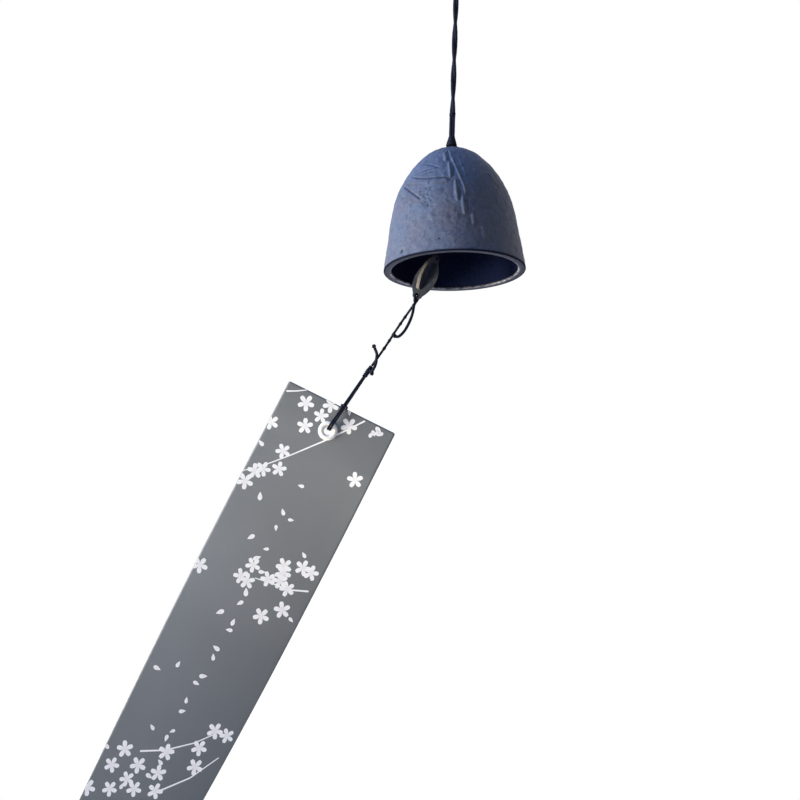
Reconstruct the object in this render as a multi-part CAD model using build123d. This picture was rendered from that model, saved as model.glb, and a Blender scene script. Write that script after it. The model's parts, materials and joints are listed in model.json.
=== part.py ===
from build123d import *
from math import cos, pi, radians, sin, tan
import os

# Furin wind bell: an iron bell on a doubled cord, a clapper of two crossed plates,
# and a paper strip on a string that catches the wind.
# Millimetres and degrees. +Z is up, +X is to the right, +Y is away from the viewer.
# The origin is the point inside the hanging loop that bears on its hook.
# Every lean turns a hanging piece about Y: a positive one blows it towards -X.
# The bell's tilt turns it about X: a positive one lowers its near side.

# Cord and string
cord_strand = 1.15
cord_gap = 0.46
string_strand = 1.05
string_gap = 0.5
pivot_gap = 0.3
tuck_gap = 0.2

# Hanging loop
loop_drop = 32.55
loop_half_width = 5.6
loop_shoulder = 9.0
loop_knot_radius = 2.4
loop_crown_share = 0.999

# Hanging cord, from the hook to the middle of the crown knot
hang_length = 112.05
cord_lean = 2.0
eighth_turn = 4.85
eighth_turns = 13
start_turn = -45.0

# Crown knot, a ball under a cone of wraps
crown_knot_radius = 2.55
crown_knot_stand = 2.9
crown_knot_neck_radius = 1.6
crown_knot_neck = 3.4
neck_wrap_shares = (0.45, 0.82)

# Bell
bell_height = 60.6
mouth_diameter = 67.0
rim_wall = 3.6
crown_wall = 3.5
rim_round = 0.5
crown_hole = 3.4
bell_lean = -1.0
bell_tilt = 0.65
# Outline of the bell, as shares of the mouth radius and of the height below the crown:
# the crown arc's middle and end, then the end of the shoulder arc
crown_middle_shares = (0.2282, 0.0242)
crown_end_shares = (0.424, 0.0935)
shoulder_end_shares = (0.8715, 0.5535)

# Stop knot inside the crown
stop_knot_radius = 2.7
stop_knot_gap = 0.15

# Clapper: two like leaf plates, slotted crosswise, one of them upside down
clapper_drop = 49.0
clapper_cord_lean = 9.6
clapper_lean = 25.5
clapper_turn = -28.0
plate_wall = 1.8
plate_width = 11.0
tongue_width = 4.6
tongue_end = 2.2
narrow_end_width = 4.8
hole_spacing = 19.5
plate_stagger = 4.5
plate_hole = 1.9
slot_gap = 0.05
thread_clear = 0.3

# String from the clapper to the middle knot
tie_drop = 4.9
tie_swing = -8.0
tie_legs = 2.7
tip_knot_radius = 1.3
string_length = 37.4
string_lean = 33.5
mid_knot_radius = 1.5
tail_knob = 0.75

# Paper strip
strip_width = 55.0
strip_length = 270.0
strip_thickness = 0.4
strip_corner = 0.8
strip_lean = 26.6
strip_blow = 4.0
strip_yaw = 3.0
strip_twist = 42.0
flat_top = 24.0
strip_sections = 5
# The middle of the strip's top edge, seen from the middle knot in the strip's own frame
knot_side = 3.4
knot_front = 1.2
knot_rise = 21.7

# Eyelet in the strip
eyelet_drop = 12.8
eyelet_side = -0.9
eyelet_diameter = 9.1
eyelet_bore = 3.9
barrel_wall = 0.4
flange_height = 0.9
washer_diameter = 8.6
washer_wall = 0.5
lip_diameter = 6.4
lip_wall = 0.35
eyelet_gap = 0.1

# Hitch of the doubled string through the eyelet
hitch_clear = 0.3
hitch_shift = 0.75
hitch_rise = 1.1
hitch_band = 2.35
hitch_front = 3.0
tight_bend = 1.4
hole_entry = 0.7

overrun = 1.0
longest_share = 0.45


# Frames, each hung on the one before

cord_frame = Rot(Y=cord_lean)
loop_knot_frame = cord_frame * Pos(0, 0, -loop_drop)
crown_pivot = cord_frame * Pos(0, 0, -hang_length)
bell_frame = Pos(crown_pivot.position) * Rot(Y=bell_lean) * Rot(X=bell_tilt)
crown_frame = bell_frame * Pos(0, 0, -crown_knot_stand)
stop_drop = crown_wall + stop_knot_gap + stop_knot_radius
stop_frame = crown_frame * Pos(0, 0, -stop_drop)
thread_frame = Pos(stop_frame.position) * Rot(Y=clapper_cord_lean)
clapper_pivot = (thread_frame * Pos(0, 0, -clapper_drop)).position
clapper_frame = Pos(clapper_pivot) * Rot(Y=clapper_lean) * Rot(Z=clapper_turn)
tie_frame = clapper_frame * Pos(0, 0, -hole_spacing) * Rot(Y=tie_swing)
tip_knot_place = (tie_frame * Pos(0, 0, -tie_drop)).position
string_frame = Pos(tip_knot_place) * Rot(Y=string_lean)
mid_knot_place = (string_frame * Pos(0, 0, -string_length)).position
strip_turned = Pos(mid_knot_place) * Rot(Y=strip_lean) * Rot(X=strip_blow) * Rot(Z=strip_yaw)
strip_frame = strip_turned * Pos(-knot_side, knot_front, -knot_rise)


# Cords

def place(frame, x, y, z):
    return (frame * Pos(x, y, z)).position


def bend_radii(route, largest=None):
    """The radius at each inner point: the longest that the shorter run allows."""
    radii = []
    for before, here, after in zip(route, route[1:], route[2:]):
        coming, going = here - before, after - here
        half_turn = radians(coming.get_angle(going)) / 2
        radius = longest_share * min(coming.length, going.length) / tan(half_turn)
        if largest and half_turn > pi / 8:
            radius = min(radius, largest)
        radii.append(radius)
    return radii


def tube(name, route, diameter, largest=None):
    """A round cord along straight runs joined by tangent arcs."""
    radii = bend_radii(route, largest)
    path = FilletPolyline(*route, radius=radii)
    section = Plane(origin=path @ 0, z_dir=path % 0) * Circle(diameter / 2)
    cord = sweep(section, path=path)
    expected = path.length * pi * diameter**2 / 4
    print(f"{name}: length {path.length:.1f}, tightest bend {min(radii):.2f}, "
          f"volume {cord.volume:.1f} of {expected:.1f}")
    return cord, path


def least_gap(first, second, diameter, count=160):
    """The least distance between the surfaces of two cords of one diameter."""
    ones = [first @ (i / count) for i in range(count + 1)]
    others = [second @ (i / count) for i in range(count + 1)]
    return min((a - b).length for a in ones for b in others) - diameter


def own_gap(path, diameter, count=400):
    """The least gap between parts of one cord that aren't next to each other."""
    step = path.length / count
    apart = int(pi * diameter / step) + 1
    points = [path @ (i / count) for i in range(count + 1)]
    pairs = ((i, j) for i in range(count + 1) for j in range(i + apart, count + 1))
    return min((points[i] - points[j]).length for i, j in pairs) - diameter


def wound_knot(radius, strand, wraps, top_radius=0, top_height=0):
    """A ball of stacked wraps, under a cone of smaller ones where it has a neck."""
    middle = radius - strand / 2
    profile = Ellipse(middle, radius)
    for i in range(wraps):
        height = (2 * i + 1 - wraps) * middle / wraps
        reach = (middle**2 - height**2) ** 0.5
        profile += Pos(reach, height) * Circle(strand / 2)
    if top_height:
        neck = Polyline((0, 0), (middle, 0), (top_radius - strand / 4, top_height), (0, top_height))
        profile += make_face(neck + Line((0, top_height), (0, 0)))
        for share in neck_wrap_shares:
            reach = middle + (top_radius - radius) * share
            profile += Pos(reach, top_height * share) * Circle(strand / 2)
    right = Rectangle(2 * radius, 2 * (radius + top_height), align=(Align.MIN, Align.CENTER))
    return revolve(Plane.XZ * (profile & right), Axis.Z)


# Hanging loop and its knot

def make_loop():
    foot = -(loop_drop - loop_knot_radius - tuck_gap)
    side = (cord_strand + cord_gap) / 2
    top = cord_strand / 2
    half = [(side, foot), (loop_half_width, -loop_shoulder), (loop_half_width, top)]
    outline = [(-x, z) for x, z in half] + [(x, z) for x, z in reversed(half)]
    route = [place(cord_frame, x, 0, z) for x, z in outline]
    radii = bend_radii(route)
    radii[1] = radii[2] = loop_crown_share * loop_half_width
    path = FilletPolyline(*route, radius=radii)
    section = Plane(origin=path @ 0, z_dir=path % 0) * Circle(cord_strand / 2)
    print(f"hanging loop: length {path.length:.1f}, tightest bend {min(radii):.2f}")
    return sweep(section, path=path)


def make_loop_knot():
    return loop_knot_frame * wound_knot(loop_knot_radius, cord_strand, 3)


# Hanging cord: two strands that turn about each other and end side by side

def strand_route(side):
    reach = (cord_strand + cord_gap) / 2
    outside = reach / cos(pi / 8)
    first = loop_drop + loop_knot_radius + pivot_gap
    last = hang_length - crown_knot_neck - pivot_gap
    points = []
    for i in range(eighth_turns + 1):
        turn = radians(start_turn) + i * pi / 4
        x, y = side * outside * cos(turn), side * outside * sin(turn)
        points.append((x, y, -first - i * eighth_turn))
    points.append((side * reach * cos(turn), 0, -last))
    return [place(cord_frame, *point) for point in points]


def make_hanging_cord():
    right, right_path = tube("hanging cord, right strand", strand_route(1), cord_strand)
    left, left_path = tube("hanging cord, left strand", strand_route(-1), cord_strand)
    print(f"hanging cord: gap between strands {least_gap(right_path, left_path, cord_strand):.2f}")
    return Compound(children=[right.solid(), left.solid()])


def make_crown_knot():
    knot = wound_knot(crown_knot_radius, cord_strand, 3, crown_knot_neck_radius, crown_knot_neck)
    return crown_pivot * knot


# Bell, and what holds it on the cord

def bell_outline(radius, height):
    """Half of the bell's outline on the XZ plane, from the crown down to the rim."""
    def point(shares):
        return radius * shares[0], -height * shares[1]

    crown = ThreePointArc((0, 0), point(crown_middle_shares), point(crown_end_shares))
    shoulder = TangentArc(point(crown_end_shares), point(shoulder_end_shares), tangent=crown % 1)
    wall = Line(point(shoulder_end_shares), (radius, -height))
    return crown + shoulder + wall


def make_bell():
    mouth = mouth_diameter / 2
    outer = bell_outline(mouth, bell_height)
    inner = Pos(0, -crown_wall) * bell_outline(mouth - rim_wall, bell_height - crown_wall)
    rim = Line((mouth, -bell_height), (mouth - rim_wall, -bell_height))
    axis = Line((0, -crown_wall), (0, 0))
    profile = make_face(outer + rim + inner + axis)
    shell = revolve(Plane.XZ * profile, Axis.Z)
    shell -= Cylinder(crown_hole / 2, 2 * (crown_wall + overrun))
    lowest = shell.edges().group_by(Axis.Z)[0]
    shell = fillet(lowest, rim_round)
    return crown_frame * shell


def make_crown_cord():
    side = (cord_strand + cord_gap) / 2
    depth = crown_wall - tuck_gap
    strand = Cylinder(cord_strand / 2, depth, align=(Align.CENTER, Align.CENTER, Align.MAX))
    right = crown_frame * Pos(side, 0, 0) * strand
    left = crown_frame * Pos(-side, 0, 0) * strand
    return Compound(children=[right.solid(), left.solid()])


def make_stop_knot():
    return stop_frame * wound_knot(stop_knot_radius, cord_strand, 3)


# Clapper

def leaf_plate():
    """A leaf on the XZ plane: a tongue with its hole at the origin, the slot from below."""
    half, tongue, narrow = plate_width / 2, tongue_width / 2, narrow_end_width / 2
    low = -(hole_spacing - plate_stagger + tongue_end)
    middle = -hole_spacing / 2
    side = ThreePointArc((tongue, 0), (half, middle), (narrow, low))
    other = ThreePointArc((-narrow, low), (-half, middle), (-tongue, 0))
    head = ThreePointArc((-tongue, 0), (0, tongue_end), (tongue, 0))
    foot = Line((narrow, low), (-narrow, low))
    leaf = make_face(head + side + foot + other)
    leaf -= Circle(plate_hole / 2)
    slot_top = middle + slot_gap
    slot_height = slot_top - low + overrun
    slot = Rectangle(plate_wall + 2 * slot_gap, slot_height, align=(Align.CENTER, Align.MAX))
    leaf -= Pos(0, slot_top) * slot
    return extrude(Plane.XZ * leaf, plate_wall / 2, both=True)


def make_clapper_plates():
    plate = leaf_plate()
    upper = clapper_frame * Rot(Z=90) * plate
    lower = clapper_frame * Pos(0, 0, -hole_spacing) * Rot(Y=180) * plate
    return upper, lower


def make_clapper_cord():
    aside = plate_wall / 2 + thread_clear + string_strand / 2
    near = (string_strand + string_gap) / 2
    above = tongue_end + overrun
    start = stop_knot_radius + pivot_gap
    leg = [
        place(clapper_frame, aside, 0, 0),
        place(clapper_frame, aside, 0, above),
        place(thread_frame, near, 0, -start),
    ]
    other = [
        place(clapper_frame, -aside, 0, 0),
        place(clapper_frame, -aside, 0, above),
        place(thread_frame, -near, 0, -start),
    ]
    route = leg[::-1] + other
    cord, path = tube("clapper cord", route, string_strand)
    print(f"clapper cord: gap to itself {own_gap(path, string_strand):.2f}")
    return cord


# String from the clapper to the middle knot

def make_string_tie():
    aside = plate_wall / 2 + thread_clear + string_strand / 2
    near = (string_strand + string_gap) / 2
    end = tie_drop - tip_knot_radius
    leg = [(aside, 0), (aside, -tie_legs), (near, -end)]
    outline = leg[::-1] + [(-y, z) for y, z in leg]
    route = [place(tie_frame, 0, y, z) for y, z in outline]
    tie, path = tube("string tie", route, string_strand)
    print(f"string tie: gap to itself {own_gap(path, string_strand):.2f}")
    return tie


def make_tip_knot():
    return Pos(tip_knot_place) * Rot(Y=string_lean) * wound_knot(tip_knot_radius, string_strand, 2)


def make_upper_string():
    start = tip_knot_radius + tuck_gap
    end = string_length - mid_knot_radius - pivot_gap
    core = Cylinder(string_strand / 2, end - start, align=(Align.CENTER, Align.CENTER, Align.MAX))
    print(f"upper string: length {end - start:.1f}")
    return string_frame * Pos(0, 0, -start) * core


def knobbed_tail(name, route):
    tail, path = tube(name, route, string_strand)
    return tail + Pos(path @ 1) * Sphere(tail_knob)


def make_string_tail():
    x, y, z = tip_knot_place
    steps = [
        (-0.6, -1.6, -0.9), (-1.0, -1.9, -6.9), (-3.7, -2.1, -12.3),
        (-7.4, -2.0, -15.7), (-9.5, -1.9, -15.0),
    ]
    return knobbed_tail("string tail", [Vector(x + a, y + b, z + c) for a, b, c in steps])


def make_mid_knot():
    return Pos(mid_knot_place) * Rot(Y=string_lean) * wound_knot(mid_knot_radius, string_strand, 3)


def make_mid_tails():
    x, y, z = mid_knot_place
    rising = [
        (1.9, -1.5, 0.8), (3.9, -1.9, 2.2), (5.3, -2.0, 5.1),
        (5.6, -1.9, 8.5), (4.3, -1.8, 12.4),
    ]
    falling = [(1.9, -0.3, -0.6), (2.7, -0.4, -0.5), (3.4, -0.5, 0.0)]
    up = knobbed_tail("rising tail", [Vector(x + a, y + b, z + c) for a, b, c in rising])
    down = knobbed_tail("falling tail", [Vector(x + a, y + b, z + c) for a, b, c in falling])
    return Compound(children=[up.solid(), down.solid()])


# Paper strip and its eyelet, in the strip's frame: X across, Y to the back, Z up

def make_paper_strip():
    def section(drop, turn):
        plane = Plane.XY.offset(-drop).rotated((0, 0, turn))
        return plane * Rectangle(strip_width, strip_thickness)

    sections = [section(0, 0), section(flat_top / 2, 0), section(flat_top, 0)]
    for i in range(1, strip_sections + 1):
        share = i / strip_sections
        drop = flat_top + (strip_length - flat_top) * share
        sections.append(section(drop, strip_twist * share))
    paper = loft(sections)
    hole = eyelet_bore / 2 + barrel_wall + eyelet_gap
    punch = Cylinder(hole, 2 * (strip_thickness + overrun))
    paper -= Pos(eyelet_side, 0, -eyelet_drop) * Rot(X=90) * punch
    corner = Pos(-strip_corner, -strip_corner) * Circle(strip_corner)
    waste = Rectangle(strip_corner, strip_corner, align=Align.MAX) - corner
    cutter = extrude(Plane.XZ * waste, strip_thickness + overrun, both=True)
    ends = (Rot(0, 0, 0), Pos(0, 0, -strip_length) * Rot(Z=strip_twist) * Rot(X=180))
    for end in ends:
        for side in (0, 180):
            paper -= end * Rot(Z=side) * Pos(strip_width / 2, 0, 0) * cutter
    return strip_frame * paper


def eyelet_place():
    """A frame at the eyelet: Z towards the viewer, the paper's middle at zero."""
    return strip_frame * Pos(eyelet_side, 0, -eyelet_drop) * Rot(X=90)


def make_eyelet():
    bore, outer = eyelet_bore / 2, eyelet_diameter / 2
    face = strip_thickness / 2 + eyelet_gap / 2
    barrel = bore + barrel_wall
    back = -(strip_thickness / 2 + washer_wall + 3 * eyelet_gap / 2)
    middle = (bore + outer) / 2
    dome = ThreePointArc((outer, face), (middle, face + flange_height), (bore, face))
    front = make_face(dome + Line((bore, face), (outer, face)))
    sleeve = Pos((bore + barrel) / 2, 0) * Rectangle(barrel_wall, 2 * (face + eyelet_gap))
    lower = Pos(bore, back - lip_wall) * Rectangle(
        barrel_wall, face - back + lip_wall, align=(Align.MIN, Align.MIN)
    )
    lip = Pos(bore, back - lip_wall) * Rectangle(
        lip_diameter / 2 - bore, lip_wall, align=(Align.MIN, Align.MIN)
    )
    profile = front + sleeve + lower + lip
    return eyelet_place() * revolve(Plane.XZ * profile, Axis.Z)


def make_eyelet_washer():
    bore = eyelet_bore / 2 + barrel_wall + eyelet_gap
    top = -(strip_thickness + eyelet_gap) / 2
    ring = Circle(washer_diameter / 2) - Circle(bore)
    return eyelet_place() * Pos(0, 0, top - washer_wall) * extrude(ring, washer_wall)


# Doubled string: down the front, through the eyelet, up the back and round itself

def make_lower_string():
    near = (string_strand + string_gap) / 2
    proud = strip_thickness / 2 + flange_height + eyelet_gap + hitch_clear + string_strand / 2
    entry = -(eyelet_drop - hole_entry)
    start = mid_knot_radius + pivot_gap
    halfway = (hitch_shift + eyelet_side) / 2

    def half(side):
        knot = Vector(knot_side, -knot_front, knot_rise)
        edge = Vector(hitch_shift, -knot_front, hitch_rise / 2)
        along = (edge - knot).normalized()
        first = knot + along * start
        return [
            (first.X + side * near, first.Y, first.Z),
            (edge.X + side * near, edge.Y, edge.Z),
            (halfway + side * near, -proud, entry / 2),
            (eyelet_side + side * near, -proud, entry),
            (eyelet_side + side * near, proud, entry),
            (halfway + side * near, proud, entry / 2),
            (hitch_shift + side * hitch_band, proud, hitch_rise),
            (hitch_shift + side * hitch_band, -hitch_front, hitch_rise),
        ]

    outline = half(-1) + half(1)[::-1]
    route = [place(strip_frame, *point) for point in outline]
    cord, path = tube("lower string", route, string_strand, tight_bend)
    print(f"lower string: gap to itself {own_gap(path, string_strand):.2f}")
    return cord


# Build

plate_a, plate_b = make_clapper_plates()
nodes = {
    "hanging_loop": make_loop(),
    "loop_knot": make_loop_knot(),
    "hanging_cord": make_hanging_cord(),
    "crown_knot": make_crown_knot(),
    "bell": make_bell(),
    "crown_cord": make_crown_cord(),
    "stop_knot": make_stop_knot(),
    "clapper_cord": make_clapper_cord(),
    "clapper_plate_upper": plate_a,
    "clapper_plate_lower": plate_b,
    "string_tie": make_string_tie(),
    "tip_knot": make_tip_knot(),
    "upper_string": make_upper_string(),
    "string_tail": make_string_tail(),
    "mid_knot": make_mid_knot(),
    "mid_knot_tails": make_mid_tails(),
    "paper_strip": make_paper_strip(),
    "eyelet": make_eyelet(),
    "eyelet_washer": make_eyelet_washer(),
    "lower_string": make_lower_string(),
}

os.makedirs("parts", exist_ok=True)
for name, solid in nodes.items():
    export_step(solid, f"parts/{name}.step")
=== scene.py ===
import json
import math

import bmesh
import bpy
import numpy as np
from mathutils import Matrix, Vector
from mathutils.bvhtree import BVHTree


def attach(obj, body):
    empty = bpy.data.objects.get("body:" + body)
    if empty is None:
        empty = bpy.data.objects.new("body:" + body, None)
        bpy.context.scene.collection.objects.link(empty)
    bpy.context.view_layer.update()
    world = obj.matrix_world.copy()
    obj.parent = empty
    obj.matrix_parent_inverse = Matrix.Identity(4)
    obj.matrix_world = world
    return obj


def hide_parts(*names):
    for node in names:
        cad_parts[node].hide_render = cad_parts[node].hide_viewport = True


# Furin wind bell. Sizes here are in millimetres, and every mesh is made in metres.
# +Z is up, +X to the right, +Y away from the camera; the origin is where the loop meets its hook.

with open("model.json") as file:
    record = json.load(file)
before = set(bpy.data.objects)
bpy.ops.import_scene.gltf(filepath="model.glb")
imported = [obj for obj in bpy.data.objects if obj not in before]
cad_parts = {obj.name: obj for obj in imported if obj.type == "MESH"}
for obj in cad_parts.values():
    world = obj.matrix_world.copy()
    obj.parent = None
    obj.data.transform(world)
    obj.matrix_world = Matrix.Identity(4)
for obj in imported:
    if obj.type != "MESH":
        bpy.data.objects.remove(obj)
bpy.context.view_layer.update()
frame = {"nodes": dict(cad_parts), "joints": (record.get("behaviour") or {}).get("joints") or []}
cadNodes = frame["nodes"]
joints = {joint["name"]: joint for joint in frame["joints"]}
mm = 0.001


def turned(*turns):  # a rotation matrix from pairs of axis and degrees, the outermost first
    matrix = np.eye(3)
    for axis, degrees in turns:
        matrix = matrix @ np.array(Matrix.Rotation(math.radians(degrees), 3, axis))
    return matrix


def jointAt(name):  # where a joint's axis passes, in millimetres
    return np.array(joints[name]["pos_m"]) / mm


def placed(frameOf, points):  # points of a piece's own frame, in the object's frame
    matrix, origin = frameOf
    return np.asarray(points, float) @ matrix.T + origin


def linked(name, data):  # a new object of this data, in the scene
    made = bpy.data.objects.new(name, data)
    bpy.context.scene.collection.objects.link(made)
    return made


def lengthAlong(line):  # the length of a line up to each of its points
    return np.r_[0, np.cumsum(np.linalg.norm(np.diff(line, axis=0), axis=1))]


def unit(vectors):  # the vectors brought to a length of 1
    return vectors / np.linalg.norm(vectors, axis=1)[:, None]


def polar(radius, angle):  # (radius cos angle, radius sin angle)
    return np.stack([radius * np.cos(angle), radius * np.sin(angle)], -1)


def fullTurn(count):  # evenly spaced angles of one turn
    return np.linspace(0, 2 * math.pi, count, endpoint=False)


# How each hanging piece leans, in degrees
leans = {
    "cord": 2.0,
    "bell": -1.0,
    "bellTilt": 0.65,
    "clapperThread": 9.6,
    "clapper": 25.5,
    "clapperTurn": -28.0,
    "tie": -8.0,
    "string": 33.5,
    "strip": 26.6,
    "stripBlow": 4.0,
    "stripYaw": 3.0,
}

# Where a piece starts from the joint or knot above it, in its own frame
hang = {
    "crown": (0, 0, -2.9),
    "tipKnot": (0, 0, -4.9),
    "strip": (-3.4, 1.2, -21.7),
}

# The eyelet's place and thickness on the paper strip
card = {
    "thickness": 0.4,
    "eyeletDrop": 12.8,
    "eyeletSide": -0.9,
    "flange": 0.9,
    "gap": 0.1,
}

cordFrame = (turned(("Y", leans["cord"])), np.zeros(3))
loopKnotFrame = (cordFrame[0], jointAt("cord_swing"))
crownKnotFrame = (cordFrame[0], jointAt("bell_swing"))
bellTurn = turned(("Y", leans["bell"]), ("X", leans["bellTilt"]))
crownFrame = (bellTurn, crownKnotFrame[1] + bellTurn @ hang["crown"])
stopKnotFrame = (bellTurn, jointAt("clapper_cord_swing"))
threadFrame = (turned(("Y", leans["clapperThread"])), stopKnotFrame[1])
clapperTurn = turned(("Y", leans["clapper"]), ("Z", leans["clapperTurn"]))
clapperFrame = (clapperTurn, jointAt("clapper_swing"))
tieTurn = clapperTurn @ turned(("Y", leans["tie"]))
tieFrame = (tieTurn, jointAt("string_swing"))
tipKnotFrame = (turned(("Y", leans["string"])), placed(tieFrame, hang["tipKnot"]))
midKnotFrame = (tipKnotFrame[0], jointAt("strip_flap"))
stripTurn = turned(("Y", leans["strip"]), ("X", leans["stripBlow"]), ("Z", leans["stripYaw"]))
stripFrame = (stripTurn, midKnotFrame[1] + stripTurn @ hang["strip"])

# Camera: the photograph was taken from below the bell, looking up at it
cameraView = {
    "place": (-28.51, -900.0, -458.77),
    "lookUp": 13.792,
    "lens": 90.27,
    "sensor": 36.0,
    "picture": 800,
    "nearest": 10.0,
    "farthest": 20000.0,
}


def makeCamera():
    data = bpy.data.cameras.new("photoCamera")
    data.lens = cameraView["lens"]
    data.sensor_width = cameraView["sensor"]
    data.clip_start = cameraView["nearest"] * mm
    data.clip_end = cameraView["farthest"] * mm
    camera = linked("photoCamera", data)
    camera.location = Vector(cameraView["place"]) * mm
    camera.rotation_euler = (math.radians(90 + cameraView["lookUp"]), 0, 0)
    bpy.context.scene.camera = camera


def surfaceUnder(node, pixels):
    # Where the camera's rays through these pixels of the picture first meet a CAD node, in mm.
    # A ray leaves the camera along (u - half, half - v, -focus), turned up by the camera's pitch.
    half = cameraView["picture"] / 2
    focus = cameraView["picture"] * cameraView["lens"] / cameraView["sensor"]
    u, v = np.asarray(pixels, float).T
    rays = np.stack([u - half, half - v, np.full(len(u), -focus)], 1)
    rays = rays @ turned(("X", 90 + cameraView["lookUp"])).T
    mesh = cadNodes[node].data
    tree = BVHTree.FromPolygons([v.co for v in mesh.vertices], [face.vertices for face in mesh.polygons])
    start = Vector(cameraView["place"]) * mm
    hits = [tree.ray_cast(start, Vector(ray))[0] for ray in rays]
    return np.array([hit / mm if hit else (np.nan,) * 3 for hit in hits])


makeCamera()
print("camera placed")


# Shared mesh helpers

def buildMesh(name, points, faces, uv=None, values=None):
    # points in mm; faces are lists of index arrays; uv and values are given for each point
    mesh = bpy.data.meshes.new(name)
    mesh.from_pydata((points * mm).tolist(), [], [f for part in faces for f in part.tolist()])
    corner = np.empty(len(mesh.loops), np.int32)
    mesh.loops.foreach_get("vertex_index", corner)
    if uv is not None:
        mesh.uv_layers.new(name="UVMap").data.foreach_set("uv", uv[corner].astype(np.float32).ravel())
    for key, value in (values or {}).items():
        mesh.attributes.new(key, "FLOAT", "POINT").data.foreach_set("value", value.astype(np.float32))
    mesh.shade_smooth()
    return linked(name, mesh)


def gridFaces(rows, columns, ringed=True, first=0):
    # Quads of a grid whose points run along each row; a ringed row closes on itself
    across = columns if ringed else columns - 1
    row, column = np.meshgrid(np.arange(rows - 1), np.arange(across), indexing="ij")
    after = (column + 1) % columns
    quads = [row * columns + column, row * columns + after,
             (row + 1) * columns + after, (row + 1) * columns + column]
    return np.stack([q.ravel() for q in quads], 1) + first


def closedFaces(rows, columns):
    # Quads of a ringed grid whose last row runs on into its first
    return gridFaces(rows + 1, columns) % (rows * columns)


def capFaces(ring, pole, flip=False):
    # Triangles from a ring of points to a pole
    fan = np.stack([ring, np.roll(ring, -1), np.full(len(ring), pole)], 1)
    return fan[:, ::-1] if flip else fan


def tubeFaces(rows, columns):
    # The sides of a tube of ringed rows, and fans to the two poles that follow its rings
    ring, poles = np.arange(columns), rows * columns
    return [gridFaces(rows, columns), capFaces(ring, poles, flip=True),
            capFaces(ring + (rows - 1) * columns, poles + 1)]


def joined(parts):
    # Several parts of (points, faces, uv) as one
    points, faces, uv = zip(*parts)
    firsts = np.cumsum([0, *map(len, points)])
    faces = [face + first for own, first in zip(faces, firsts) for face in own]
    return np.concatenate(points), faces, np.concatenate(uv)


def finishPiece(piece, body, material, replaces=()):
    piece.data.materials.append(material)
    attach(piece, body)
    if replaces:
        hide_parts(*replaces)
    return piece


# Cords: a smooth line through a route's control points, and a laid rope carried along it

def smoothLine(route):
    # The line of a NURBS spline of order 3 whose control points are the route's
    curve = bpy.data.curves.new("route", "CURVE")
    curve.dimensions = "3D"
    curve.resolution_u = rope["resolution"]
    spline = curve.splines.new("NURBS")
    spline.points.add(len(route) - 1)
    spline.points.foreach_set("co", np.c_[route, np.ones(len(route))].ravel())
    spline.order_u = 3
    spline.use_endpoint_u = True
    holder = bpy.data.objects.new("route", curve)
    mesh = bpy.data.meshes.new_from_object(holder)
    points = np.empty(3 * len(mesh.vertices), np.float32)
    mesh.vertices.foreach_get("co", points)
    bpy.data.objects.remove(holder)
    bpy.data.curves.remove(curve)
    bpy.data.meshes.remove(mesh)
    return points.reshape(-1, 3).astype(float)


def evenly(line, step, fewest=6):
    # The same line as points an even step apart, and the length up to each of them
    along = lengthAlong(line)
    keep = np.r_[True, np.diff(along) > 0]
    wanted = np.linspace(0, along[-1], max(int(along[-1] / step), fewest) + 1)
    return np.stack([np.interp(wanted, along[keep], side) for side in line[keep].T], 1), wanted


def carriedFrames(line):
    # Tangent, normal and binormal at each point; each normal is the last one freed of the tangent
    tangent = unit(np.gradient(line, axis=0))
    normal = np.empty_like(tangent)
    side = np.cross(tangent[0], rope["firstSide"])
    for i, t in enumerate(tangent):
        side = side - t * (side @ t)
        side /= np.linalg.norm(side)
        normal[i] = side
    return tangent, normal, np.cross(tangent, normal)


rope = {
    "sides": 15,
    "step": 0.3,
    "resolution": 24,
    "yarns": 3,
    "yarnDepth": 0.09,
    "layLength": 3.4,
    "waver": 0.015,
    "waverWaves": ((1.7, 0.0), (0.61, 2.0)),
    "firstSide": (0.31, 0.52, 0.79),
    "tipShare": 0.35,
    "knotTurns": 2,
    "knotLobes": 3,
    "knotSwell": 0.42,
    "knotPoints": 240,
    "wrapPoints": 48,
    "pivotGap": 0.3,
    "tuckGap": 0.2,
}


def ropeParts(line, radius):
    # Ring point = line + r (cos a N + sin a B), with
    # r = radius (1 - depth + depth |cos(yarns (a - 2 pi s / lay) / 2)| + a slow waver along s)
    line, along = evenly(line, rope["step"])
    tangent, normal, binormal = carriedFrames(line)
    angle = fullTurn(rope["sides"])
    twist = 2 * math.pi * along[:, None] / rope["layLength"]
    ridge = np.abs(np.cos(rope["yarns"] * (angle - twist) / 2))
    waver = rope["waver"] * sum(np.sin(along * rate + phase) for rate, phase in rope["waverWaves"])
    reach = radius * (1 - rope["yarnDepth"] + rope["yarnDepth"] * ridge + waver[:, None])
    around = np.cos(angle)[:, None] * normal[:, None] + np.sin(angle)[:, None] * binormal[:, None]
    rings = line[:, None] + reach[..., None] * around
    tip = radius * rope["tipShare"]
    points = np.r_[rings.reshape(-1, 3), [line[0] - tangent[0] * tip, line[-1] + tangent[-1] * tip]]
    uv = np.stack(np.broadcast_arrays(along[:, None], angle / (2 * math.pi)), 2).reshape(-1, 2)
    uv = np.r_[uv, [[along[0], 0.5], [along[-1], 0.5]]]
    return points, tubeFaces(len(line), rope["sides"]), uv


def ropePiece(name, body, lines, radius, replaces=()):
    # One piece of one or more ropes of the same radius
    piece = buildMesh(name, *joined([ropeParts(line, radius) for line in lines]))
    return finishPiece(piece, body, navyCord, replaces)


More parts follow.
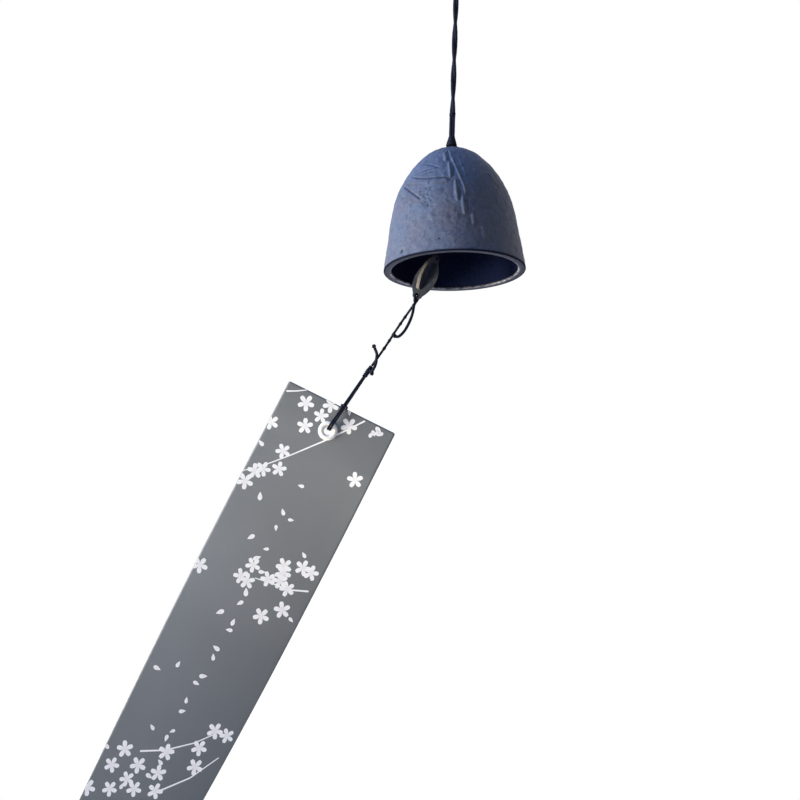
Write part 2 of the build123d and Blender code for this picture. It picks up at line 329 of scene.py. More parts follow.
def knotLine(radius, height, start=0.0):
    # A knot's closed weave on a ball: angle = turns t, radius swings lobes t, height against it
    turns, lobes, swell = rope["knotTurns"], rope["knotLobes"], rope["knotSwell"]
    t = np.linspace(0, 2 * math.pi, rope["knotPoints"]) + start
    reach = radius * (1 - swell + swell * np.cos(lobes * t))
    return np.c_[polar(reach, turns * t), height * np.sin(lobes * t)]


def wrapLine(lowRadius, highRadius, low, high, turns):
    # Wraps that climb: angle grows with height, radius goes from the low one to the high one
    t = np.linspace(0, 1, int(rope["wrapPoints"] * turns))
    reach = lowRadius + (highRadius - lowRadius) * t
    return np.c_[polar(reach, 2 * math.pi * turns * t), low + (high - low) * t]


# Materials

def opaque(color):  # a colour with its alpha; a grey's number, or another node's output, as it is
    return (*color, 1) if isinstance(color, tuple) else color


def newMaterial(name, color, gloss):
    roughness, specular = gloss
    material = bpy.data.materials.new(name)
    material.use_nodes = True
    tree = material.node_tree
    shader = tree.nodes["Principled BSDF"]
    shader.inputs["Base Color"].default_value = opaque(color)
    shader.inputs["Roughness"].default_value = roughness
    shader.inputs["Specular IOR Level"].default_value = specular
    return material, tree, shader


def node(tree, kind, inputs=None, **settings):
    made = tree.nodes.new("ShaderNode" + kind)
    for key, value in settings.items():
        setattr(made, key, value)
    for key, value in (inputs or {}).items():
        if isinstance(value, bpy.types.NodeSocket):
            tree.links.new(value, made.inputs[key])
        else:
            made.inputs[key].default_value = value
    return made


def objectPlace(tree):
    return node(tree, "TexCoord").outputs["Object"]


def noise(tree, place, size, detail=3.0, roughness=0.55):
    # Cloudy noise whose cells are about size mm across
    inputs = {"Vector": place, "Scale": 1 / (size * mm), "Detail": detail, "Roughness": roughness}
    return node(tree, "TexNoise", inputs).outputs["Fac"]


def stretched(tree, place, scale, turn):
    return node(tree, "Mapping", {"Vector": place, "Scale": scale, "Rotation": turn}).outputs["Vector"]


def ramp(tree, value, stops):
    # A colour ramp of (place, colour) stops; a number stands for a grey
    made = node(tree, "ValToRGB", {"Fac": value})
    elements = made.color_ramp.elements
    while len(elements) < len(stops):
        elements.new(0.5)
    for element, (place, color) in zip(elements, stops):
        element.position = place
        element.color = opaque(color if isinstance(color, tuple) else (color,) * 3)
    return made.outputs["Color"]


def mixed(tree, share, first, second):
    # Inputs 6 and 7 of this node are its two colours
    inputs = {0: share, 6: opaque(first), 7: opaque(second)}
    return node(tree, "Mix", inputs, data_type="RGBA").outputs[2]


def layered(tree, color, share, stops, other):
    # The other colour over the first, where a ramp of the share lets it through
    return mixed(tree, ramp(tree, share, stops), color, other)


def times(tree, first, second, operation="MULTIPLY"):
    return node(tree, "Math", {0: first, 1: second}, operation=operation).outputs[0]


def plus(tree, first, second):
    return times(tree, first, second, "ADD")


def attribute(tree, name):
    return node(tree, "Attribute", attribute_name=name).outputs["Fac"]


def ranged(tree, value, limits):
    # A value brought from one span to another: limits are from low, from high, to low, to high
    return node(tree, "MapRange", {"Value": value, **dict(enumerate(limits, 1))}).outputs["Result"]


def surfaced(tree, shader, color, height, bump):
    # Colour, and a bump of (depth in mm, strength)
    depth, strength = bump
    made = node(tree, "Bump", {"Height": height, "Distance": depth * mm, "Strength": strength})
    tree.links.new(color, shader.inputs["Base Color"])
    tree.links.new(made.outputs["Normal"], shader.inputs["Normal"])


def shadedMaterial(name, look):
    # One noise shades the colour and raises the surface
    material, tree, shader = newMaterial(name, look["color"], look["gloss"])
    grain = noise(tree, objectPlace(tree), *look["grain"])
    color = layered(tree, look["color"], grain, look["shadeRamp"], look["shade"])
    surfaced(tree, shader, color, grain, look["bump"])
    return material


cordLook = {
    "dark": (0.002, 0.003, 0.009),
    "light": (0.010, 0.012, 0.029),
    "gloss": (0.7, 0.1),
    "fibreStretch": (1.6, 14.0, 1.0),
    "fibreLean": 0.5,
    "fibres": (0.5, 3.0, 0.5),
    "fibreRamp": ((0.35, 0.0), (0.68, 1.0)),
    "patchSize": 3.0,
    "patchShare": 0.4,
    "bump": (0.06, 0.7),
}


def cordMaterial():
    # Fine fibres run along the lay: noise stretched along the piece's own length, whose UV is in mm
    c = cordLook
    material, tree, shader = newMaterial("navyCord", c["light"], c["gloss"])
    uv = node(tree, "TexCoord").outputs["UV"]
    place = stretched(tree, uv, c["fibreStretch"], (0, 0, c["fibreLean"]))
    size, detail, roughness = c["fibres"]
    fibres = noise(tree, place, size / mm, detail, roughness)
    patches = noise(tree, objectPlace(tree), c["patchSize"])
    color = layered(tree, c["dark"], fibres, c["fibreRamp"], c["light"])
    color = mixed(tree, times(tree, patches, c["patchShare"]), color, c["dark"])
    surfaced(tree, shader, color, fibres, c["bump"])
    return material


navyCord = cordMaterial()
print("materials for the cords")

# Hanging loop, its knot, the twisted pair and the knot on the bell's crown. Wraps are given by
# their low and high radius, low and high place and turns, and weaves by radius and height.
hangingCord = {
    "strand": 1.15,
    "gap": -0.08,
    "fullness": 1.52,
    "loopDrop": 32.55,
    "loopHalfWidth": 5.6,
    "loopShoulder": 9.0,
    "loopKnotRadius": 2.4,
    "length": 112.05,
    "eighthTurn": 4.85,
    "eighthTurns": 13,
    "startTurn": -45.0,
    "bandWraps": (1.15, 1.25, -98.3, -96.5, 2.2),
    "bandShare": 0.62,
    "crownWeave": (1.2, 1.5),
    "footRadius": 2.85,
    "footHeight": -1.4,
    "footTurns": 5.0,
    "neck": 3.4,
    "neckRadius": 1.6,
    "neckClear": 0.1,
    "throughDrops": (0.1, 1.5, 3.3),
    "stopKnotRadius": 2.7,
    "stopKnotStart": 0.7,
}


def loopRoute():
    c = hangingCord
    foot = -(c["loopDrop"] - c["loopKnotRadius"] - rope["tuckGap"])
    side, top = (c["strand"] + c["gap"]) / 2, c["strand"] / 2
    half = [(side, 0, foot), (c["loopHalfWidth"], 0, -c["loopShoulder"]), (c["loopHalfWidth"], 0, top)]
    left = np.array(half) * (-1, 1, 1)
    return placed(cordFrame, np.r_[left, half[::-1]])


def strandRoute(side):
    # A control point each eighth of a turn, as far out as a circle's corners stand
    c = hangingCord
    reach = (c["strand"] + c["gap"]) / 2
    first = c["loopDrop"] + c["loopKnotRadius"] + rope["pivotGap"]
    last = c["length"] - c["neck"] - rope["pivotGap"]
    i = np.arange(c["eighthTurns"] + 1)
    turn = math.radians(c["startTurn"]) + i * math.pi / 4
    outside = side * reach / math.cos(math.pi / 8)
    helix = np.c_[polar(outside, turn), -first - i * c["eighthTurn"]]
    return placed(cordFrame, np.r_[helix, [(side * reach * math.cos(turn[-1]), 0, -last)]])


def makeHangingCord():
    c = hangingCord
    radius = c["strand"] / 2
    fullRadius = radius * c["fullness"]
    loopLine = smoothLine(loopRoute())
    loop = ropePiece("loopCord", "hanging_loop", [loopLine], fullRadius, ["hanging_loop"])
    ball = c["loopKnotRadius"] - radius
    weave = placed(loopKnotFrame, knotLine(ball, ball))
    knot = ropePiece("loopKnot", "hanging_loop", [weave], radius, ["loop_knot"])

    for name, side in (("cordStrandRight", 1), ("cordStrandLeft", -1)):
        line = smoothLine(strandRoute(side))
        strand = ropePiece(name, "hanging_cord", [line], fullRadius, ["hanging_cord"])
    band = placed(cordFrame, wrapLine(*c["bandWraps"]))
    ropePiece("pairBand", "hanging_cord", [band], radius * c["bandShare"])

    weave = placed(crownKnotFrame, knotLine(*c["crownWeave"]))
    wraps = placed(crownKnotFrame, wrapLine(c["footRadius"] - radius, c["neckRadius"] - radius,
                                            c["footHeight"], c["neck"] - c["neckClear"], c["footTurns"]))
    ropePiece("crownKnot", "crown_knot", [weave, wraps], radius, ["crown_knot"])

    side = (c["strand"] + c["gap"]) / 2
    passes = [placed(crownFrame, [(x, 0, -drop) for drop in c["throughDrops"]]) for x in (side, -side)]
    ropePiece("crownStrands", "bell", passes, radius, ["crown_cord"])
    ball = c["stopKnotRadius"] - radius
    weave = placed(stopKnotFrame, knotLine(ball, ball, c["stopKnotStart"]))
    ropePiece("stopKnot", "bell", [weave], radius, ["stop_knot"])


makeHangingCord()
print("hanging cord made")

# Thread of the clapper, string down to the strip, and the strip's doubled string
string = {
    "strand": 1.05,
    "gap": -0.06,
    "threadClear": 0.3,
    "threadRise": 3.2,
    "plateWall": 1.8,
    "tieLegs": 2.7,
    "tipKnotRadius": 1.3,
    "tipWeave": (0.42, 1.15),
    "tipWraps": (0.62, 0.55, -3.8, -2.1, 2.4),
    "tipStrandRadius": 0.4,
    "length": 37.4,
    "upperRadius": 0.58,
    "swayPlaces": [(0, 0), (-0.25, 0.3), (0.3, 0.72), (0, 1)],
    "lumpShares": [0.16, 0.27, 0.46, 0.59, 0.73],
    "lumpWeave": (0.24, 0.6),
    "lumpTurn": 9,
    "midKnotRadius": 1.5,
    "midWeave": (0.8, 1.15),
    "midWraps": (0.85, 0.75, -1.0, -4.4, 3.6),
    "midStrandRadius": 0.46,
    "tailRadius": 0.71,
    "knobWeave": (0.3375, 0.375),
    "tail": [(-0.1, -1.2, -0.4), (-0.3, -1.8, -2.6), (-0.9, -2.0, -5.6), (-1.6, -2.0, -7.7),
             (-2.9, -2.1, -10.7), (-4.5, -2.1, -13.6), (-6.3, -2.0, -15.6), (-7.8, -1.9, -16.6),
             (-9.2, -1.9, -15.9)],
    "risingTail": [(0.1, -0.6, -1.4), (0.95, -1.3, -2.1), (1.6, -1.7, -0.8), (2.5, -1.9, 0.9),
                   (3.0, -2.0, 2.6), (3.1, -2.0, 4.3), (3.4, -1.9, 6.4), (2.7, -1.8, 8.4),
                   (1.9, -1.7, 10.3)],
    "fallingTail": [(0.0, -0.6, -0.8), (0.6, -1.2, -1.8), (0.95, -1.4, -2.6)],
}


def stringSides():  # how far the string runs beside a clapper plate, and beside its other leg
    c = string
    return c["plateWall"] / 2 + c["threadClear"] + c["strand"] / 2, (c["strand"] + c["gap"]) / 2


def makeClapperThread():
    aside, near = stringSides()
    rise, radius = string["threadRise"], string["strand"] / 2
    start = hangingCord["stopKnotRadius"] + rope["pivotGap"]
    low = placed(clapperFrame, [(aside, 0, rise), (aside, 0, 0), (-aside, 0, 0), (-aside, 0, rise)])
    high = placed(threadFrame, [(near, 0, -start), (-near, 0, -start)])
    line = smoothLine(np.r_[high[:1], low, high[1:]])
    thread = ropePiece("clapperThread", "clapper_cord", [line], radius, ["clapper_cord"])


def makeTie():
    # The string passes through the clapper's lower hole and is knotted under its tip
    c = string
    aside, near = stringSides()
    end = hang["tipKnot"][2] + c["tipKnotRadius"]
    leg = np.array([(0, aside, 0), (0, aside, -c["tieLegs"]), (0, near, end)])
    line = smoothLine(placed(tieFrame, np.r_[leg[::-1], leg * (1, -1, 1)]))
    ropePiece("stringTie", "upper_string", [line], c["strand"] / 2, ["string_tie"])
    lines = [placed(tipKnotFrame, knotLine(*c["tipWeave"])), placed(tieFrame, wrapLine(*c["tipWraps"]))]
    ropePiece("tipKnot", "upper_string", lines, c["tipStrandRadius"], ["tip_knot"])


def tailPiece(name, routes, knot, body, replaces):
    # Loose ends, each singed into a small knob
    lines = [smoothLine(knot + np.array(route)) for route in routes]
    knobs = [line[-1] + knotLine(*string["knobWeave"]) for line in lines]
    ropePiece(name, body, lines + knobs, string["tailRadius"], replaces)


def makeUpperString():
    c = string
    start = c["tipKnotRadius"] + rope["tuckGap"]
    run = c["length"] - c["midKnotRadius"] - rope["pivotGap"] - start
    line = smoothLine(placed(tipKnotFrame, [(x, 0, -start - run * share) for x, share in c["swayPlaces"]]))
    lumps = [placed((tipKnotFrame[0], line[int(share * (len(line) - 1))]),
                    knotLine(*c["lumpWeave"], c["lumpTurn"] * share)) for share in c["lumpShares"]]
    upper = ropePiece("upperString", "upper_string", [line, *lumps], c["upperRadius"],
                      ["upper_string"])
    tailPiece("stringTail", [c["tail"]], tipKnotFrame[1], "upper_string", ["string_tail"])
    lines = [placed(midKnotFrame, knotLine(*c["midWeave"])), placed(midKnotFrame, wrapLine(*c["midWraps"]))]
    ropePiece("midKnot", "mid_knot", lines, c["midStrandRadius"], ["mid_knot"])
    tailPiece("midKnotTails", [c["risingTail"], c["fallingTail"]], midKnotFrame[1], "mid_knot",
              ["mid_knot_tails"])


# Doubled string: down the front of the strip, through its eyelet, up the back and round itself
hitch = {
    "shift": 0.75,
    "rise": 0.8,
    "band": 1.35,
    "front": 2.25,
    "clear": 0.3,
    "topShare": 0.6,
    "fullness": 0.93,
    "entry": 0.7,
}


def lowerRoute():
    h = hitch
    near, thick = stringSides()[1], string["strand"] / 2
    proud = card["thickness"] / 2 + card["flange"] + card["gap"] + h["clear"] + thick
    entry = -(card["eyeletDrop"] - h["entry"])
    knot = -np.array(hang["strip"])
    edge = np.array([h["shift"], knot[1], h["rise"] / 2])
    first = knot + (edge - knot) / np.linalg.norm(edge - knot) * (string["midKnotRadius"] + rope["pivotGap"])
    eyeletSide, halfway = card["eyeletSide"], (h["shift"] + card["eyeletSide"]) / 2

    def half(side):
        return [
            first + (side * near * h["topShare"], 0, 0),
            edge + (side * near, 0, 0),
            (halfway + side * near, -proud, entry / 2),
            (eyeletSide + side * near, -proud, entry),
            (eyeletSide + side * near, proud, entry),
            (halfway + side * near, proud, entry / 2),
            (h["shift"] + side * h["band"], proud, h["rise"]),
            (h["shift"] + side * h["band"], -h["front"], h["rise"]),
        ]

    return placed(stripFrame, half(-1) + half(1)[::-1])


def makeLowerString():
    line = smoothLine(lowerRoute())
    radius = string["strand"] / 2 * hitch["fullness"]
    piece = ropePiece("lowerString", "strip", [line], radius, ["lower_string"])


makeClapperThread()
makeTie()
makeUpperString()
makeLowerString()
print("strings made")

# Bell: a lathe form, closed round the rim and back up inside to the crown's hole
bell = {
    "height": 60.6,
    "mouth": 67.0,
    "rimWall": 3.6,
    "crownWall": 3.5,
    "rimRound": 0.5,
    "crownHole": 3.4,
    "crownMiddleShares": (0.2282, 0.0242),
    "crownEndShares": (0.424, 0.0935),
    "shoulderEndShares": (0.8715, 0.5535),
    "profilePoints": 400,
    "rimPoints": 6,
    "rowStep": 0.4,
    "innerStep": 1.6,
    "columnStep": 0.42,
    "backColumnShare": 0.3,
    "frontHalf": 100.0,
    "strokePoints": 16,
    "waver": 0.07,
    "waverSize": 6.0,
    "waves": ((1.0, (1.3, 0, 0.8, 0), (0, 0.9, -1.1, 1)), (0.5, (2.3, 0, -1.9, 2), (0, 2.1, 0, 0.7))),
    "grain": 0.032,
    "grainPasses": 2,
    "coarseGrain": 0.06,
    "coarsePasses": 14,
    "fadeRows": 8,
    "seed": 7,
    "reliefPower": 1.5,
    "swellPower": 4,
    "evenPower": 8,
    "leastSwell": 0.02,
    "densityPoints": 2001,
    # How much of the rim's pale edge shows at each turn round the bell, in degrees: painted highlight where
    # the rounded inner corner catches light, and wear
    "rimHighlightAndWear": [(-180, 0.2), (-160, 0.5), (-145, 1.0), (-96, 1.0), (-78, 0.5), (-50, 0.1), (10, 0.1),
                (45, 0.2), (72, 0.4), (95, 0.6), (125, 0.5), (150, 0.25), (180, 0.2)],
}

# Relief on the bell's front, each stroke by the picture's pixels that it runs through.
# Half widths and heights in mm; a height below zero is cut in, and a height of zero only stains.
bellRelief = {
    "stem": {"width": 0.8, "height": 0.46, "even": True, "strokes": [
        [(449.2, 150.6), (452.8, 160.2), (456.8, 169.3), (460.9, 178.4), (463.9, 185.5), (465.9, 194.6)]]},
    "leaves": {"width": 1.2, "height": 0.44, "strokes": [
        [(444.9, 152.2), (445.2, 156.5), (446.0, 161.0)], [(449.6, 161.5), (450.0, 169.0), (450.8, 177.0)],
        [(455.4, 180.0), (456.2, 190.5), (457.8, 200.6)], [(462.6, 195.6), (463.9, 207.0), (465.2, 214.2)],
        [(472.8, 213.3), (473.2, 219.0), (473.7, 224.4)], [(482.3, 226.5), (483.4, 232.0), (484.8, 238.4)]]},
    "faintLeaves": {"width": 0.9, "height": 0.3, "strokes": [
        [(457.5, 155.5), (462.0, 165.5), (466.2, 176.0)], [(471.0, 185.5), (473.0, 190.0), (475.3, 194.6)],
        [(487.5, 172.0), (490.5, 176.0), (493.0, 181.5)], [(496.0, 196.0), (497.5, 201.0), (499.0, 206.0)]]},
    # Shallow cuts beside the leaves, darkened like every cut: painted shadows of the leaves
    "paintedLeafShadows": {"width": 0.75, "height": -0.2, "strokes": [
        [(447.6, 151.0), (449.7, 160.8), (452.4, 171.8)], [(453.6, 165.0), (453.9, 170.0), (454.0, 175.6)],
        [(459.6, 186.5), (459.9, 192.0), (460.2, 199.0)], [(467.4, 198.0), (468.0, 205.0), (468.4, 211.0)]]},
    "ridge": {"width": 1.0, "height": 0.25, "strokes": [
        [(404.5, 182.7), (420.0, 182.6), (434.0, 181.6), (447.5, 180.2)]]},
    "grooves": {"width": 0.62, "height": -0.5, "strokes": [
        [(412.0, 176.9), (420.4, 178.6), (432.8, 178.0), (441.0, 177.3), (448.6, 178.2)],
        [(404.1, 187.1), (408.9, 190.9), (414.7, 195.0), (420.6, 199.6)]]},
    "fineGrooves": {"width": 0.5, "height": -0.32, "strokes": [
        [(422.6, 163.6), (430.9, 165.2), (440.2, 167.8)], [(422.2, 175.6), (428.5, 172.4), (434.9, 171.2)],
        [(414.8, 175.0), (421.4, 171.8), (427.0, 169.9), (432.2, 168.3)]]},
    "stains": {"width": 1.3, "height": 0.0, "stain": 0.6, "strokes": [
        [(431.5, 181.9), (438.0, 182.2), (443.9, 182.4)], [(442.6, 184.0), (445.0, 182.0), (447.2, 179.8)],
        [(487.5, 174.0), (493.0, 180.0), (500.0, 190.0)], [(500.3, 188.5), (503.5, 198.0), (507.4, 208.7)],
        [(511.3, 230.0), (512.0, 235.0), (512.5, 242.0)], [(405.0, 198.0), (414.0, 201.0), (424.0, 202.0)],
        [(447.0, 198.0), (449.0, 206.0), (449.5, 214.0)], [(403.5, 184.8), (412.0, 184.6), (421.0, 184.0)]]},
}
bellPits = {
    "deep": {"size": 0.75, "depth": 0.8, "places": [(401.7, 251.2)]},
    "small": {"size": 0.48, "depth": 0.36, "places": [
        (413.4, 220.9), (439.6, 238.0), (430.0, 187.1), (426.9, 188.5), (429.3, 182.8), (420.2, 191.2),
        (420.9, 194.3), (424.2, 193.8), (427.6, 194.0), (421.1, 183.6), (408.9, 185.4), (402.9, 198.1),
        (399.9, 195.7), (425.5, 198.0), (429.0, 198.4), (418.0, 197.1), (422.3, 203.1), (428.3, 205.0),
        (425.7, 201.4), (430.9, 200.0), (407.0, 201.9), (410.8, 204.0), (424.0, 196.2)]},
}


def arc(start, middle, end, count):
    # The circle through three points of a plane, from the first to the last
    a, b, c = (np.array(p, float) for p in (start, middle, end))
    grid = 2 * np.array([b - a, c - a])
    centre = np.linalg.solve(grid, [b @ b - a @ a, c @ c - a @ a])
    angles = np.unwrap([math.atan2(*(p - centre)[::-1]) for p in (a, b, c)])
    return centre + polar(np.linalg.norm(a - centre), np.linspace(angles[0], angles[2], count))


def tangentArc(start, end, tangent, count):
    # The arc that leaves start along the tangent, a unit vector, and reaches end
    side = np.array([-tangent[1], tangent[0]])
    chord = end - start
    radius = chord @ chord / (2 * chord @ side)
    centre = start + radius * side
    first, last = (math.atan2(*(p - centre)[::-1]) for p in (start, end))
    last = first + (last - first + math.pi) % (2 * math.pi) - math.pi
    return centre + polar(abs(radius), np.linspace(first, last, count))


def bellSide(radius, height):
    # Crown arc, shoulder arc tangent to it, then the straight wall: (radius, height) points
    size, count = np.array([radius, -height]), bell["profilePoints"]
    crown = arc((0, 0), bell["crownMiddleShares"] * size, bell["crownEndShares"] * size, count)
    leaving = crown[-1] - crown[-2]
    leaving /= np.linalg.norm(leaving)
    shoulder = tangentArc(crown[-1], bell["shoulderEndShares"] * size, leaving, count)
    wall = np.linspace(shoulder[-1], size, count)
    return np.concatenate([crown, shoulder[1:], wall[1:]])


def bellProfile():
    # Outer side from the hole's edge down, the rounded rim, then the inner side up to the hole
    low, bend, hole = -bell["height"], bell["rimRound"], bell["crownHole"] / 2

    def side(inward, downward, step):
        line = bellSide(bell["mouth"] / 2 - inward, bell["height"] - downward) - (0, downward)
        return evenly(line[(line[:, 0] > hole) & (line[:, 1] > low + bend)], step)[0]

    outer = side(0, 0, bell["rowStep"])
    inner = side(bell["rimWall"], bell["crownWall"], bell["innerStep"])[::-1]
    turn = np.linspace(0, math.pi / 2, bell["rimPoints"])[1:]
    outerCorner = outer[-1] - (bend, 0) + bend * np.stack([np.cos(turn), -np.sin(turn)], 1)
    innerCorner = inner[0] + (bend, 0) + bend * np.stack([-np.sin(turn), -np.cos(turn)], 1)
    face = np.linspace((outerCorner[-1][0], low), (innerCorner[0][0], low), bell["rimPoints"] + 1)[1:-1]
    holeEdge = [(hole, inner[-1][1]), (hole, -bell["crownWall"] / 2), (hole, 0)]
    parts = [outer, outerCorner, face, innerCorner, inner, holeEdge]
    return np.concatenate(parts), np.cumsum([len(part) for part in parts])


def bellColumns():
    # Angles round the bell, closer together on the front, which faces -Y
    angle = np.linspace(-math.pi, math.pi, bell["densityPoints"])
    front = math.radians(bell["frontHalf"])
    density = np.where(np.abs(angle) < front, 1.0, bell["backColumnShare"])
    total = np.r_[0, np.cumsum((density[1:] + density[:-1]) / 2)]
    widest = bell["mouth"] / 2 * (2 * front + bell["backColumnShare"] * 2 * (math.pi - front))
    count = int(widest / bell["columnStep"])
    return np.interp(np.arange(count) / count * total[-1], total, angle) - math.pi / 2


def curveThrough(points):
    # A smooth stroke through its points, by their own running share
    share = np.linspace(0, 1, len(points))
    fine = np.linspace(0, 1, bell["strokePoints"])
    degree = min(len(points) - 1, 3)
    return np.stack([np.polyval(np.polyfit(share, side, degree), fine) for side in points.T], 1)


def strokeRelief(points, stroke, width, even):
    # (1 - (d / w)^2)^reliefPower, where d is the distance from the stroke's line and w the half
    # width there, which swells from the ends as sqrt(1 - (2 t - 1)^swellPower), or ^evenPower
    line = curveThrough(stroke)
    start, along = line[:-1], np.diff(line, axis=0)
    near = np.linalg.norm(points - line.mean(0), axis=1)
    reach = np.linalg.norm(line - line.mean(0), axis=1).max() + 2 * width
    chosen = np.flatnonzero(near < reach)
    gap = points[chosen][:, None] - start[None]
    t = np.clip((gap * along).sum(2) / (along**2).sum(1), 0, 1)
    distance = np.linalg.norm(gap - t[..., None] * along, axis=2)
    best = distance.argmin(1)
    rows = np.arange(len(chosen))
    share = (best + t[rows, best]) / len(start)
    swell = 1 - (2 * share - 1) ** bell["evenPower" if even else "swellPower"]
    half = width * np.sqrt(np.clip(swell, bell["leastSwell"], 1))
    relief = np.zeros(len(points))
    relief[chosen] = np.clip(1 - (distance[rows, best] / half) ** 2, 0, 1) ** bell["reliefPower"]
    return relief


def sandGrain(random, rows, columns, passes):
    # Random heights, each pass averaged with their four neighbours, then brought to a spread of 1
    height = random.normal(size=(rows, columns))
    for _ in range(passes):
        height = (height + np.roll(height, 1, 0) + np.roll(height, -1, 0) + np.roll(height, 1, 1)
                  + np.roll(height, -1, 1)) / 5
    return height / height.std()


def frontRelief(points):
    # How far the strokes and pits raise each point, and how much the stains darken it
    relief, stain = np.zeros(len(points)), np.zeros(len(points))
    for kind in bellRelief.values():
        for stroke in kind["strokes"]:
            shape = strokeRelief(points, surfaceUnder("bell", stroke), kind["width"], kind.get("even"))
            relief += kind["height"] * shape
            stain = np.maximum(stain, kind.get("stain", 0) * shape)
    for pits in bellPits.values():
        for pit in surfaceUnder("bell", pits["places"]):
            relief -= pits["depth"] * np.exp(-((np.linalg.norm(points - pit, axis=1) / pits["size"]) ** 2))
    return relief, stain


def slowWaver(points):
    # A sum of share sin(a) sin(b), where a and b grow by their rates along x, y and z from a phase
    x, y, z = (points / bell["waverSize"]).T

    def sine(alongX, alongY, alongZ, phase):
        return np.sin(alongX * x + alongY * y + alongZ * z + phase)

    return sum(share * sine(*first) * sine(*second) for share, first, second in bell["waves"])


def makeBell(material):
    c = bell
    profile, ends = bellProfile()
    angle = bellColumns()
    rows, columns = len(profile), len(angle)
    around = polar(1, angle)
    points = np.empty((rows, columns, 3))
    points[..., :2] = profile[:, :1, None] * around
    points[..., 2] = profile[:, 1:]

    # Outward normals of the outer side, from the profile's own direction
    direction = unit(np.gradient(profile, axis=0))
    normal = np.empty_like(points)
    normal[..., :2] = -direction[:, 1, None, None] * around
    normal[..., 2] = direction[:, :1]

    outer = ends[0]
    flat = placed(crownFrame, points[:outer].reshape(-1, 3))
    relief, stain = frontRelief(flat)

    # The casting wavers by a few hundredths of a millimetre, under two sizes of sand grain
    random = np.random.default_rng(c["seed"])
    lift = (relief + c["waver"] * slowWaver(flat)).reshape(outer, columns)
    lift += c["grain"] * sandGrain(random, outer, columns, c["grainPasses"])
    lift += c["coarseGrain"] * sandGrain(random, outer, columns, c["coarsePasses"])
    fade = np.clip((outer - 1 - np.arange(outer)) / c["fadeRows"], 0, 1)[:, None]
    points[:outer] += (lift * fade)[..., None] * normal[:outer]

    def spread(values):  # one value for each row or column, at every point
        return np.broadcast_to(values, (rows, columns)).ravel()

    along = lengthAlong(profile)
    share = spread((along / along[-1])[:, None])
    shown, stained = np.zeros(rows * columns), np.zeros(rows * columns)
    shown[:outer * columns], stained[:outer * columns] = relief, stain
    turn = (np.degrees(angle) + 270) % 360 - 180
    # The rim's painted highlight and wear, by the turn round the bell
    highlightAndWear = spread(np.interp(turn, *np.array(c["rimHighlightAndWear"]).T))
    mesh = buildMesh("bellCasting", placed(crownFrame, points.reshape(-1, 3)),
                     [closedFaces(rows, columns)[:, ::-1]],
                     uv=np.stack([spread(angle / (2 * math.pi)), share], 1),
                     values={"profileShare": share, "relief": shown, "stain": stained, "highlightAndWear": highlightAndWear})
    return finishPiece(mesh, "bell", material(along[ends - 1] / along[-1]), ["bell"])


bellLook = {
    "coat": (0.069, 0.085, 0.139),
    "coatDark": (0.032, 0.041, 0.075),
    "coatWarm": (0.079, 0.081, 0.120),
    # A bluer coat towards the crown: painted sky light
    "paintedSkyCrown": (0.048, 0.074, 0.150),
    "speckPale": (0.090, 0.108, 0.165),
    "stain": (0.052, 0.041, 0.046),
    "groove": (0.014, 0.018, 0.047),
    # The pale colour of the rim's edge: painted highlight and wear
    "rimHighlightAndWearColor": (0.420, 0.420, 0.480),
    "gloss": (0.62, 0.2),
    "grain": (0.9, 4.0, 0.65),
    "fine": (0.32, 2.0),
    "fineShare": 0.45,
    "clouds": (14.0, 2.0),
    "patches": (3.2, 3.0),
    "specks": (1.5, 2.0),
    "breaks": (2.4, 3.0),
    "cloudRamp": ((0.38, 0.0), (0.62, 1.0)),
    "darkRamp": ((0.3, 0.6), (0.58, 0.0)),
    "speckRamp": ((0.52, 0.0), (0.7, 0.55)),
    "patchRamp": ((0.52, 0.0), (0.7, 0.6)),
    "stainRamp": ((0.3, 1.0), (0.6, 0.5)),
    "breakRamp": ((0.34, 0.1), (0.56, 1.0)),
    # Where the painted sky light on the crown fades out down the profile
    "paintedSkyFade": ((0.25, 0.75), (0.75, 0.0)),
    "wornLimits": (0.1, 0.5, 0.0, 0.55),
    "cutLimits": (-0.04, -0.32, 0.0, 0.92),
    # The rim's bands start nearly black at the outer corner, a painted shadow along the rounded edge, and
    # the inside is nearly black, painted shade in the bell's hollow
    "rimBands": (("corner", 0, (0.004, 0.005, 0.014)), ("corner", 0.8, (0.042, 0.043, 0.064)),
                 ("face", 0, (0.042, 0.043, 0.064)), ("inner", 1, (0.0035, 0.0055, 0.0190))),
    "pastEdgeBands": (("outer", -1.4, 0.0), ("outer", -0.4, 1.0)),
    "highlightAndWearBands": (("face", -0.6, 0.0), ("bend", 0, 1.0), ("inner", 0, 1.0), ("inner", 1, 0.0)),
    "roughBands": (("outer", 0, 0.62), ("face", 0, 0.5), ("inner", 0, 0.75)),
    "glossBands": (("outer", -2, 0.2), ("outer", -1, 0.02), ("corner", 0.3, 0.02), ("corner", 1, 0.2),
                   ("inner", 0, 0.15), ("inner", 3, 0.01)),
    "lumpBands": (("inner", 0, 0.0), ("inner", 1, 6.0)),
    "bump": (0.1, 0.8),
}


